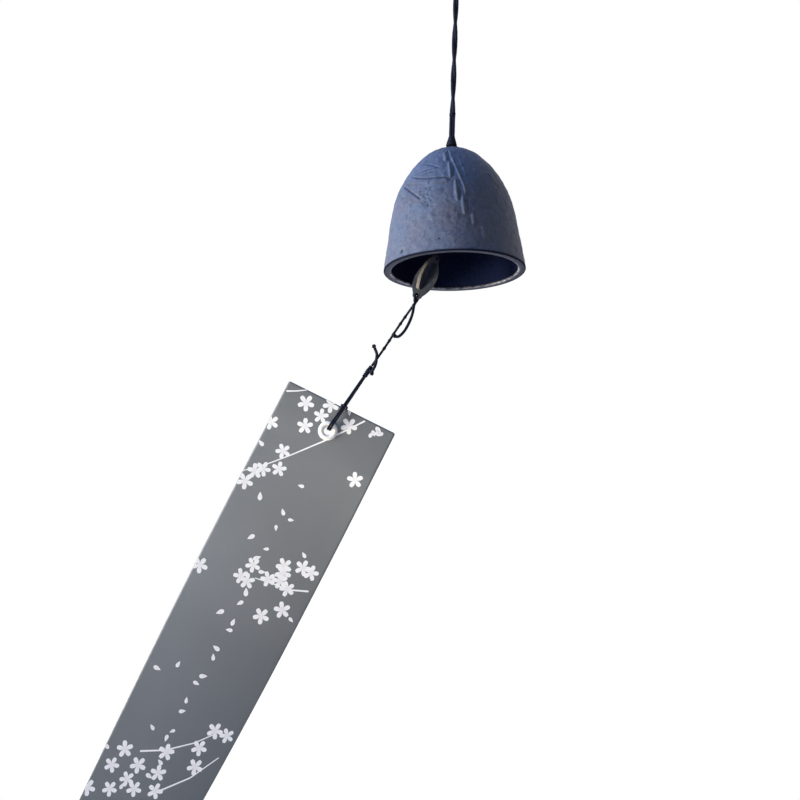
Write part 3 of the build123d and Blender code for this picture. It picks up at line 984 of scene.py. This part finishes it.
def ironMaterial(stops):
    # Coat, rim and inside follow the profile's own length; cuts are darker, and the grain is cast in.
    # The rim's outer corner and the nearly black inside are painted shade.
    # A band is given by the profile's stop it is measured from, sixths of the rim's face, and value.
    c = bellLook
    material, tree, shader = newMaterial("castIron", c["coat"], c["gloss"])
    place = objectPlace(tree)
    grain, fine, clouds, patches, specks, breaks = (
        noise(tree, place, *c[kind]) for kind in ("grain", "fine", "clouds", "patches", "specks", "breaks"))
    share, relief = attribute(tree, "profileShare"), attribute(tree, "relief")
    outer, corner, face, inner = stops[:4]
    anchors = {"outer": outer, "corner": corner, "face": face, "bend": (face + inner) / 2, "inner": inner}
    width = (face - corner) / 6

    def banded(bands):
        return ramp(tree, share, [(anchors[stop] + sixths * width, value) for stop, sixths, value in bands])

    coat = layered(tree, c["coat"], clouds, c["cloudRamp"], c["coatWarm"])
    # Painted sky light: the coat turns bluer towards the crown and fades out lower down
    crown = [(outer * down, amount) for down, amount in c["paintedSkyFade"]]
    coat = layered(tree, coat, share, crown, c["paintedSkyCrown"])
    coat = layered(tree, coat, grain, c["darkRamp"], c["coatDark"])
    coat = layered(tree, coat, specks, c["speckRamp"], c["speckPale"])
    coat = layered(tree, coat, patches, c["patchRamp"], c["coatDark"])
    coat = mixed(tree, ranged(tree, relief, c["wornLimits"]), coat, c["speckPale"])
    stained = times(tree, attribute(tree, "stain"), ramp(tree, grain, c["stainRamp"]))
    coat = mixed(tree, stained, coat, c["stain"])
    coat = mixed(tree, ranged(tree, relief, c["cutLimits"]), coat, c["groove"])

    # The rim's pale edge, broken up by noise: painted highlight and wear
    rimEdgeHighlightAndWear = times(tree, banded(c["highlightAndWearBands"]), attribute(tree, "highlightAndWear"))
    rimEdgeHighlightAndWear = times(tree, rimEdgeHighlightAndWear, ramp(tree, breaks, c["breakRamp"]))
    rim = mixed(tree, rimEdgeHighlightAndWear, banded(c["rimBands"]), c["rimHighlightAndWearColor"])
    tree.links.new(banded(c["roughBands"]), shader.inputs["Roughness"])
    tree.links.new(banded(c["glossBands"]), shader.inputs["Specular IOR Level"])
    lumps = times(tree, specks, banded(c["lumpBands"]))
    heights = plus(tree, plus(tree, grain, times(tree, fine, c["fineShare"])), lumps)
    surfaced(tree, shader, mixed(tree, banded(c["pastEdgeBands"]), coat, rim), heights, c["bump"])
    return material


makeBell(ironMaterial)
print("bell made")


# Clapper: the two slotted plates with their edges eased
clapper = {
    "edge": 0.16,
    "edgeSegments": 3,
    "mergeDistance": 0.002,
    "flatAngle": 2,
    "sharpAngle": 35,
    "cutShare": 0.5,
    "color": (0.026, 0.031, 0.048),
    "worn": (0.050, 0.054, 0.070),
    # A paler taupe on the plates' cut edges: painted highlight and wear
    "edgeHighlightAndWear": (0.125, 0.110, 0.098),
    "grime": (0.012, 0.013, 0.020),
    "gloss": (0.5, 0.15),
    "streaks": (0.5, 4.0),
    "streakStretch": (1.0, 1.0, 0.12),
    "streakLean": 0.44,
    "patchSize": 2.6,
    "wornRamp": ((0.4, 0.0), (0.7, 0.5)),
    "edgeHighlightAndWearRamp": ((0.3, 0.7), (0.6, 1.0)),
    "grimeRamp": ((0.35, 0.5), (0.6, 0.0)),
    "roughRamp": ((0.3, 0.62), (0.7, 0.44)),
    "bump": (0.02, 0.6),
}


def plateMaterial():
    c = clapper
    material, tree, shader = newMaterial("dullPlate", c["color"], c["gloss"])
    place = objectPlace(tree)
    scratches = stretched(tree, place, c["streakStretch"], (0, c["streakLean"], 0))
    streaks = noise(tree, scratches, *c["streaks"])
    patches = noise(tree, place, c["patchSize"])
    color = layered(tree, c["color"], patches, c["wornRamp"], c["worn"])
    # The cut edges are paler in patches: painted highlight where they catch light, and wear
    highlightAndWear = times(tree, attribute(tree, "cutEdge"), ramp(tree, patches, c["edgeHighlightAndWearRamp"]))
    color = mixed(tree, highlightAndWear, color, c["edgeHighlightAndWear"])
    color = layered(tree, color, streaks, c["grimeRamp"], c["grime"])
    tree.links.new(ramp(tree, patches, c["roughRamp"]), shader.inputs["Roughness"])
    surfaced(tree, shader, color, streaks, c["bump"])
    return material


def easedCopy(nodeName, name):
    # A copy of a CAD node with its corners merged and its edges rounded. Its faces that don't lie
    # along the plate, across the direction with the most area, are marked as cut edges.
    c = clapper
    mesh = cadNodes[nodeName].data.copy()
    mesh.name = name
    mesh.materials.clear()
    work = bmesh.new()
    work.from_mesh(mesh)
    bmesh.ops.remove_doubles(work, verts=work.verts, dist=c["mergeDistance"] * mm)
    flat = math.radians(c["flatAngle"])
    bmesh.ops.dissolve_limit(work, angle_limit=flat, verts=work.verts, edges=work.edges)
    work.to_mesh(mesh)
    work.free()
    facing = np.abs(np.array([face.normal for face in mesh.polygons]) @ clapperFrame[0])
    area = np.array([face.area for face in mesh.polygons])
    cut = facing[:, (area @ facing**4).argmax()] < c["cutShare"]
    mesh.attributes.new("cutEdge", "FLOAT", "FACE").data.foreach_set("value", cut.astype(np.float32))
    mesh.shade_smooth()
    mesh.set_sharp_from_angle(angle=math.radians(c["sharpAngle"]))
    piece = linked(name, mesh)
    bevel = piece.modifiers.new("easedEdges", "BEVEL")
    bevel.width = c["edge"] * mm
    bevel.segments = c["edgeSegments"]
    bevel.limit_method = "ANGLE"
    bevel.angle_limit = math.radians(c["sharpAngle"])
    bevel.harden_normals = True
    return piece


dullPlate = plateMaterial()
for side in ("upper", "lower"):
    plate = easedCopy("clapper_plate_" + side, "clapperPlate" + side.title())
    finishPiece(plate, "clapper", dullPlate, ["clapper_plate_" + side])
print("clapper made")


# Paper strip: flat at its eyelet, then twisted by the wind and a little curled
strip = {
    "width": 55.0,
    "length": 270.0,
    "corner": 0.8,
    "flatTop": 24.0,
    "twist": 42.0,
    "hole": 2.45,
    "holeRing": 4,
    "holeBlend": 9,
    "blendPower": 1.5,
    "halfColumns": 34,
    "holeRow": 15,
    "lowRows": 96,
    "curl": 0.7,
    "wave": 0.5,
    "waveAcross": 40.0,
    "waveDown": 31.0,
    "bowRise": 4,
    "uvUnit": 100.0,
}


def stripTurnAt(down):  # the wind's twist, from nothing above flatTop, and the share of the way down
    fall = np.clip((down - strip["flatTop"]) / (strip["length"] - strip["flatTop"]), 0, 1)
    return np.radians(strip["twist"]) * fall, fall


def stripPoint(across, down, lift=0.0):
    # A point of the strip, lift mm in front of its middle: a line across that turns as it goes down,
    # bowed by curl (across / half width)^2 and a slow wave
    s = strip
    turn, fall = stripTurnAt(down)
    wave = s["wave"] * np.sin(down / s["waveDown"] + across / s["waveAcross"])
    bow = np.clip(fall * s["bowRise"], 0, 1) ** 2 * (s["curl"] * (across / (s["width"] / 2)) ** 2 + wave)
    out = bow - lift
    local = [across * np.cos(turn) - out * np.sin(turn), across * np.sin(turn) + out * np.cos(turn), -down]
    return placed(stripFrame, np.stack(local, -1))


def stripPlace(pixels):
    # (across, down) on the strip of what the picture shows at these pixels
    matrix, origin = stripFrame
    x, y, z = ((surfaceUnder("paper_strip", pixels) - origin) @ matrix).T
    turn = stripTurnAt(-z)[0]
    return np.stack([x * np.cos(turn) + y * np.sin(turn), -z], 1)


def makeStrip(material, edgeMaterial):
    s = strip
    # Columns and rows stand even on each side of the eyelet's middle
    columns, holeRow = 2 * s["halfColumns"] + 1, s["holeRow"]
    middle, drop = card["eyeletSide"], card["eyeletDrop"]
    across = np.r_[np.linspace(-s["width"] / 2, middle, s["halfColumns"] + 1),
                   np.linspace(middle, s["width"] / 2, s["halfColumns"] + 1)[1:]]
    top = np.linspace(0, 2 * drop, 2 * holeRow + 1)
    down = np.r_[top, np.linspace(top[-1], s["length"], s["lowRows"] + 1)[1:]]
    rows = len(down)
    x, d = np.meshgrid(across, down)
    i, j = np.meshgrid(np.arange(columns) - s["halfColumns"], np.arange(rows) - holeRow)
    square = np.maximum(np.abs(i), np.abs(j))

    # Square rings round the eyelet's hole ease from circles at the hole into the grid
    ring = (square - s["holeRing"]) / (s["holeBlend"] - s["holeRing"])
    inside = (ring >= 0) & (ring < 1)
    step = s["width"] / (columns - 1)
    ringRadius = s["hole"] + ring * (s["holeBlend"] * step - s["hole"])
    angle = np.arctan2(j, i)
    blend = np.clip(ring, 0, 1) ** s["blendPower"]
    x = np.where(inside, (1 - blend) * (middle + ringRadius * np.cos(angle)) + blend * x, x)
    d = np.where(inside, (1 - blend) * (drop + ringRadius * np.sin(angle)) + blend * d, d)
    quads = gridFaces(rows, columns, ringed=False)
    inner = (square < s["holeRing"]).ravel()
    quads = quads[~inner[quads].any(1)]
    # Round the four corners by drawing in their last point
    cut = s["corner"] * (1 - math.sqrt(0.5))
    x[[0, 0, -1, -1], [0, -1, 0, -1]] -= np.array([-cut, cut, -cut, cut])
    d[[0, 0, -1, -1], [0, -1, 0, -1]] += np.array([cut, cut, -cut, -cut])
    used, quads = np.unique(quads, return_inverse=True)
    x, d = x.ravel()[used], d.ravel()[used]
    piece = buildMesh("paperStrip", stripPoint(x, d), [quads.reshape(-1, 4)[:, ::-1]],
                      uv=np.stack([x, d], 1) / s["uvUnit"])
    solid = piece.modifiers.new("paperThickness", "SOLIDIFY")
    solid.thickness = card["thickness"] * mm
    solid.offset = 0
    solid.material_offset_rim = 1
    finishPiece(piece, "strip", material, ["paper_strip"])
    piece.data.materials.append(edgeMaterial)
    return piece


paperLook = {
    "grey": (0.205, 0.203, 0.213),
    # A lighter, bluer grey: painted light where the light falls
    "paintedLight": (0.300, 0.305, 0.325),
    # A darker grey at the top of the card: painted shade
    "top": (0.142, 0.146, 0.157),
    "dark": (0.0, 0.016, 0.030),
    "fibreShade": (0.100, 0.105, 0.115),
    "ink": (0.82, 0.80, 0.82),
    "inkPink": (0.72, 0.67, 0.72),
    "inkThin": (0.45, 0.44, 0.48),
    "gloss": (0.78, 0.3),
    "inkGloss": (0.6, 0.35),
    "fibres": (0.5, 4.0, 0.7),
    "inkFibres": (0.35, 4.0, 0.7),
    "clouds": (30.0, 2.0),
    "paintedLightAcross": -1.9,
    "paintedLightDown": 0.32,
    "paintedLightClouds": 0.16,
    "paintedLightStart": 0.1,
    "fibreRamp": ((0.35, 0.12), (0.65, 0.0)),
    "paintedTopShadeRamp": ((0.0, 0.0), (1.0, 1.0)),
    "darkRamp": ((0.12, 0.0), (0.22, 0.16), (0.44, 0.39), (0.74, 0.50)),
    "pinkRamp": ((0.0, 1.0), (0.55, 0.15), (1.0, 0.0)),
    "thinRamp": ((0.28, 0.3), (0.45, 0.0)),
    "bump": (0.03, 0.5),
    "inkBump": (0.02, 0.4),
}
edgeLook = {
    "color": (0.42, 0.42, 0.43),
    "shade": (0.205, 0.203, 0.213),
    "gloss": (0.85, 0.2),
    "grain": (0.3, 3.0),
    "shadeRamp": ((0.3, 0.5), (0.7, 0.0)),
    "bump": (0.05, 0.6),
}


def uvParts(tree):
    return node(tree, "SeparateXYZ", {"Vector": node(tree, "TexCoord").outputs["UV"]}).outputs


def paperMaterial():
    # A lighter, bluer grey is painted light: its share changes by its across and down rates for each UV unit
    # to the right and down, so it grows towards the left side, and clouds add tone at random. The top is
    # darker, painted shade, and the card darkens towards its lower end
    c = paperLook
    material, tree, shader = newMaterial("greyCard", c["grey"], c["gloss"])
    place = objectPlace(tree)
    fibres = noise(tree, place, *c["fibres"])
    clouds = noise(tree, place, *c["clouds"])
    across, down, _ = uvParts(tree)
    # Painted light: a lighter, bluer grey towards the left side, with clouds of random tone
    paintedLight = plus(tree, times(tree, across, c["paintedLightAcross"]), times(tree, down, c["paintedLightDown"]))
    paintedLight = plus(tree, plus(tree, paintedLight, c["paintedLightStart"]), times(tree, clouds, c["paintedLightClouds"]))
    color = mixed(tree, paintedLight, c["grey"], c["paintedLight"])
    # Painted shade: darker over the top of the card, for its first UV unit
    color = layered(tree, c["top"], down, c["paintedTopShadeRamp"], color)
    fallen = times(tree, down, strip["uvUnit"] / strip["length"])
    color = layered(tree, color, fallen, c["darkRamp"], c["dark"])
    color = layered(tree, color, fibres, c["fibreRamp"], c["fibreShade"])
    surfaced(tree, shader, color, fibres, c["bump"])
    return material


def inkMaterial():
    # White ink, a little pinker where it lies thin at a blossom's middle
    c = paperLook
    material, tree, shader = newMaterial("blossomInk", c["ink"], c["inkGloss"])
    fibres = noise(tree, objectPlace(tree), *c["inkFibres"])
    color = layered(tree, c["ink"], uvParts(tree)["X"], c["pinkRamp"], c["inkPink"])
    color = layered(tree, color, fibres, c["thinRamp"], c["inkThin"])
    surfaced(tree, shader, color, fibres, c["inkBump"])
    return material


paperStrip = makeStrip(paperMaterial(), shadedMaterial("cardEdge", edgeLook))
print("strip made")

# Blossom print in white ink. Places are pixels of the picture, or mm on the strip below it.
blossomPrint = {
    "seed": 21,
    "inkHeight": 0.03,
    "blossomRadius": 3.85,
    "blossomSizes": (0.94, 1.06),
    "blossomPoints": 110,
    "blossomPetals": 5,
    "blossomHeart": 0.2,
    "blossomPower": 0.85,
    "notch": 0.07,
    "notchAngle": 0.06,
    "petalLength": 3.6,
    "petalSizes": (0.8, 1.15),
    "petalHalfShare": 0.26,
    "petalPoints": 16,
    "petalPower": 0.65,
    "ringShares": (0.5, 1.0, 1.0, 0.5),
    "ringLifts": (1, 1, -2, -2),
    "margin": 0.15,
    "branchHalves": (0.42, 0.22),
    "branchPoints": 50,
    "branchUv": (0.9, 0.5),
    "branchLifts": (0.8, 0.8, -2.2, -2.2),
    "sharpAngle": 40,
    "blossoms": [
        (306, 403), (331, 405), (321, 416), (305, 426), (271, 422), (349, 426), (283, 451), (279, 469),
        (263, 469), (255, 471), (245, 481), (355, 480), (200, 565), (253, 565), (241, 576), (247, 581),
        (284, 566), (283, 573), (303, 568), (311, 573), (268, 579), (280, 581), (287, 589), (261, 616),
        (282, 610), (125, 749), (112, 765), (138, 765), (127, 779), (110, 789), (88, 788), (134, 789),
        (166, 752), (158, 773), (155, 791), (199, 748), (195, 767), (215, 731), (227, 736),
    ],
    "petals": [
        (371, 434.5), (373.5, 433.5), (377, 432.5), (380, 434.5), (378.5, 430.5), (349.5, 413),
        (261, 443), (301, 486), (260, 496), (251, 537), (304, 555), (220, 612),
        (178, 664), (157, 668), (152, 727), (107, 746), (291, 620), (122, 786),
    ],
    "driftPetals": [
        (283, 512), (291, 520), (276, 528), (266, 549), (257, 558), (262, 572), (246, 592), (240, 603),
        (233, 622), (229, 630), (216, 648), (213, 657), (203, 676), (196, 683), (186, 700), (182, 711),
        (172, 731), (166, 738), (160, 762), (149, 776),
    ],
    "branches": [
        [(365, 421), (349, 429), (324, 441), (291, 455), (270, 463), (243.5, 470.5)],
        [(286.5, 391), (296, 391), (307, 390)],
        [(308.5, 591.5), (290, 590), (271, 583), (255, 578)],
        [(140, 751), (165, 750), (194, 743), (213, 735)],
        [(150, 795), (190, 778), (219, 758)],
    ],
    "lowBlossoms": [(-18, 212), (-9, 208), (4, 214), (13, 221), (-21, 226), (21, 232), (-13, 236), (9, 243),
                    (-4, 228), (18, 249), (-19, 251), (2, 256)],
    "lowPetals": [(-5, 217), (15, 209), (-12, 245), (22, 240), (-2, 240), (11, 262), (-16, 263), (20, 263)],
}


def inkFilms(outlines, centres):
    # Thin raised films: each outline at the ink's height over the card, its middle, and its foot in
    # the card. They stay inside the card's edge by the margin.
    c = blossomPrint
    shapes, count, _ = outlines.shape
    front = card["thickness"] / 2
    middle = np.array([0, strip["length"] / 2])
    half = np.array([strip["width"] / 2, strip["length"] / 2]) - c["margin"]
    centres = centres[:, None]
    rings = np.stack([centres + (outlines - centres) * share for share in c["ringShares"]], 1)
    rings = middle + np.clip(rings - middle, -half, half)
    lifts = front + np.array(c["ringLifts"])[:, None] * c["inkHeight"]
    points = stripPoint(rings[..., 0], rings[..., 1], np.broadcast_to(lifts, rings.shape[:3]))
    poles = (middle + np.clip(centres - middle, -half, half))[:, 0].T
    tops, feet = (stripPoint(*poles, front + lift * c["inkHeight"]) for lift in c["ringLifts"][::3])
    uv = np.zeros((len(tops) + len(feet) + points.size // 3, 2))
    uv[:points.size // 3, 0] = np.broadcast_to(np.array(c["ringShares"])[:, None], rings.shape[:3]).ravel()
    first = np.arange(shapes) * 4 * count
    faces = [(gridFaces(4, count) + first[:, None, None]).reshape(-1, 4)[:, ::-1]]
    ring = np.arange(count)
    for k in range(shapes):
        faces += [capFaces(ring + first[k], points.size // 3 + k),
                  capFaces(ring + first[k] + 3 * count, points.size // 3 + shapes + k, flip=True)]
    return np.concatenate([points.reshape(-1, 3), tops, feet]), faces, uv


def blossomOutlines(centres, random):
    # r = R (heart + (1 - heart) |cos(petals a / 2)|^power - notch), a small dip at each petal's tip
    c = blossomPrint
    petals, heart = c["blossomPetals"], c["blossomHeart"]
    angle = fullTurn(c["blossomPoints"])
    local = (angle + math.pi / petals) % (2 * math.pi / petals) - math.pi / petals
    notch = c["notch"] * np.exp(-((local / c["notchAngle"]) ** 2))
    reach = heart + (1 - heart) * np.abs(np.cos(petals * angle / 2)) ** c["blossomPower"] - notch
    turn = random.uniform(0, 2 * math.pi, len(centres))[:, None] + angle
    size = c["blossomRadius"] * random.uniform(*c["blossomSizes"], len(centres))[:, None] * reach
    return centres[:, None] + polar(size, turn)


def petalOutlines(centres, random):
    # A teardrop: its half width goes as sin(pi t^power) along its length
    c = blossomPrint
    t = np.linspace(0, 1, c["petalPoints"])
    half = c["petalHalfShare"] * np.sin(math.pi * t ** c["petalPower"])
    x, y = np.r_[t, t[::-1][1:-1]] - 0.5, np.r_[half, -half[::-1][1:-1]]
    turn = random.uniform(0, 2 * math.pi, len(centres))[:, None]
    size = c["petalLength"] * random.uniform(*c["petalSizes"], len(centres))[:, None]
    return centres[:, None] + np.stack([size * (x * np.cos(turn) - y * np.sin(turn)),
                                        size * (x * np.sin(turn) + y * np.cos(turn))], 2)


def branchRibbon(path):
    # A raised ribbon that thins towards its far end
    c = blossomPrint
    place = stripPlace(path)
    fine = np.linspace(0, 1, c["branchPoints"])
    line = np.stack([np.interp(fine, np.linspace(0, 1, len(place)), side) for side in place.T], 1)
    along = unit(np.gradient(line, axis=0))
    half = np.interp(fine, (0, 1), c["branchHalves"])[:, None]
    aside = np.stack([-along[:, 1], along[:, 0]], 1) * half
    rings = np.stack([stripPoint(*(line + side * aside).T, card["thickness"] / 2 + lift * c["inkHeight"])
                      for side, lift in zip((1, -1, -1, 1), c["branchLifts"])], 1)
    points = np.r_[rings.reshape(-1, 3), rings[[0, -1]].mean(1)]
    faces = [part[:, ::-1] for part in tubeFaces(len(line), 4)]
    return points, faces, np.tile(c["branchUv"], (len(points), 1))


def makePrint(material):
    c = blossomPrint
    random = np.random.default_rng(c["seed"])
    flowers = np.r_[stripPlace(c["blossoms"]), c["lowBlossoms"]]
    petals = np.r_[stripPlace(c["petals"] + c["driftPetals"]), c["lowPetals"]]
    sheets = {"printBlossoms": inkFilms(blossomOutlines(flowers, random), flowers),
              "printPetals": inkFilms(petalOutlines(petals, random), petals),
              "printBranches": joined([branchRibbon(path) for path in c["branches"]])}
    pieces = [buildMesh(name, *sheet) for name, sheet in sheets.items()]
    for piece in pieces:
        piece.data.set_sharp_from_angle(angle=math.radians(c["sharpAngle"]))
        finishPiece(piece, "strip", material)
    return pieces


inkPieces = makePrint(inkMaterial())
print("print made")

# Eyelet: a raised ring on the front, a barrel through the card and a rolled lip behind its washer
eyelet = {
    "diameter": 9.1,
    "bore": 3.9,
    "boreEdge": 0.15,
    "barrelWall": 0.4,
    "washer": 0.5,
    "lipDiameter": 6.4,
    "lipWall": 0.35,
    "lipRound": 0.15,
    "boreRound": 0.12,
    "domePoints": 22,
    "columns": 64,
    "color": (0.80, 0.765, 0.72),
    "shade": (0.56, 0.52, 0.50),
    "gloss": (0.4, 0.5),
    "grain": (1.6, 3.0),
    "shadeRamp": ((0.35, 0.35), (0.65, 0.0)),
    "bump": (0.04, 0.5),
}


def makeEyelet(material):
    # A profile of (radius, height over the card's middle), turned round the hole's axis
    e = eyelet
    bore, outer, lip = e["bore"] / 2, e["diameter"] / 2, e["lipDiameter"] / 2
    face = card["thickness"] / 2 + card["gap"] / 2
    back = -(card["thickness"] / 2 + e["washer"] + 1.5 * card["gap"])
    end, barrel = back - e["lipWall"], bore + e["barrelWall"]
    dome = arc((outer, face), ((bore + outer) / 2, face + card["flange"]), (bore, face + e["boreEdge"]),
               e["domePoints"])
    foot = [(bore, end + e["boreRound"]), (bore + e["boreRound"], end), (lip - e["lipRound"], end),
            (lip, end + e["lipRound"]), (lip, back), (barrel, back), (barrel, face)]
    profile = np.r_[dome, foot]
    angle = fullTurn(e["columns"])
    r, z = profile[:, :1], profile[:, 1:]
    local = np.stack(np.broadcast_arrays(r * np.cos(angle) + card["eyeletSide"], -z,
                                         r * np.sin(angle) - card["eyeletDrop"]), 2)
    faces = closedFaces(len(profile), len(angle))
    piece = buildMesh("eyeletRing", placed(stripFrame, local.reshape(-1, 3)), [faces])
    return finishPiece(piece, "strip", material, ["eyelet"])


whiteEyelet = shadedMaterial("whiteEyelet", eyelet)
ring = makeEyelet(whiteEyelet)
washerMaterials = cadNodes["eyelet_washer"].data.materials
washerMaterials.clear()
washerMaterials.append(whiteEyelet)
print("eyelet made")


# Studio: a pale floor well below the strip, a white surround, soft lamps and a small one whose
# beam falls on the strip's lower end
studio = {
    "floorHeight": -640.0,
    "floorSize": 6000.0,
    "surround": (0.5, 0.6, 1.0),
    "surroundStrength": 0.11,
    "floorLight": (0.84, 0.84, 0.84),
    "floorDark": (0.78, 0.78, 0.78),
    "floorGloss": (0.9, 0.2),
    "dust": (60.0, 2.0),
    "lamps": {
        "keyLamp": {"place": (-1140, -285, -400), "size": 400, "power": 35.0, "color": (1.0, 0.92, 0.72)},
        "skyLamp": {"place": (-850, -300, 700), "size": 600, "power": 17.0, "color": (0.22, 0.52, 1.0)},
        "fillLamp": {"place": (400, -1200, -600), "size": 900, "power": 4.6, "color": (1.0, 0.96, 0.78)},
        "warmLamp": {"place": (900, 500, -100), "size": 500, "power": 1.5, "color": (1.0, 0.85, 0.65)},
    },
    "stripLamp": {"place": (-300, -600, -420), "aim": (-165, 0, -440), "size": 60, "power": 7.5,
                  "cone": 36, "blend": 0.8, "color": (1.0, 0.97, 0.95)},
    "aim": (-20, 0, -180),
}


def setLamp(name, data, lamp, aim):
    data.energy = lamp["power"]
    data.color = lamp["color"]
    light = linked(name, data)
    light.location = Vector(lamp["place"]) * mm
    toAim = Vector(aim) - Vector(lamp["place"])
    light.rotation_euler = toAim.to_track_quat("-Z", "Y").to_euler()


def makeStudio():
    c = studio
    scene = bpy.context.scene
    scene.view_settings.view_transform = "Standard"
    world = bpy.data.worlds.new("surround")
    scene.world = world
    world.use_nodes = True
    tree = world.node_tree
    tree.nodes.clear()
    rays = node(tree, "LightPath").outputs
    seen = rays["Is Camera Ray"]
    for kind in ("Is Glossy Ray", "Is Transmission Ray"):
        seen = times(tree, seen, rays[kind], "MAXIMUM")
    white = node(tree, "Background", {"Color": (1, 1, 1, 1), "Strength": 1.0}).outputs[0]
    soft = node(tree, "Background", {"Color": opaque(c["surround"]),
                                     "Strength": c["surroundStrength"]}).outputs[0]
    mix = node(tree, "MixShader", {0: seen, 1: soft, 2: white}).outputs[0]
    node(tree, "OutputWorld", {"Surface": mix})

    for name, lamp in c["lamps"].items():
        data = bpy.data.lights.new(name, "AREA")
        data.shape = "DISK"
        data.size = lamp["size"] * mm
        setLamp(name, data, lamp, c["aim"])
    lamp = c["stripLamp"]
    data = bpy.data.lights.new("stripLamp", "SPOT")
    data.spot_size = math.radians(lamp["cone"])
    data.spot_blend = lamp["blend"]
    data.shadow_soft_size = lamp["size"] * mm
    setLamp("stripLamp", data, lamp, lamp["aim"])

    half, height = c["floorSize"] / 2, c["floorHeight"]
    corners = np.array([(-half, -half, height), (half, -half, height), (half, half, height),
                        (-half, half, height)])
    floor = buildMesh("floor", corners, [np.array([[0, 1, 2, 3]])])
    material, tree, shader = newMaterial("paleFloor", c["floorLight"], c["floorGloss"])
    dust = noise(tree, objectPlace(tree), *c["dust"])
    tree.links.new(mixed(tree, dust, c["floorDark"], c["floorLight"]), shader.inputs["Base Color"])
    floor.data.materials.append(material)


makeStudio()
print("studio lit")
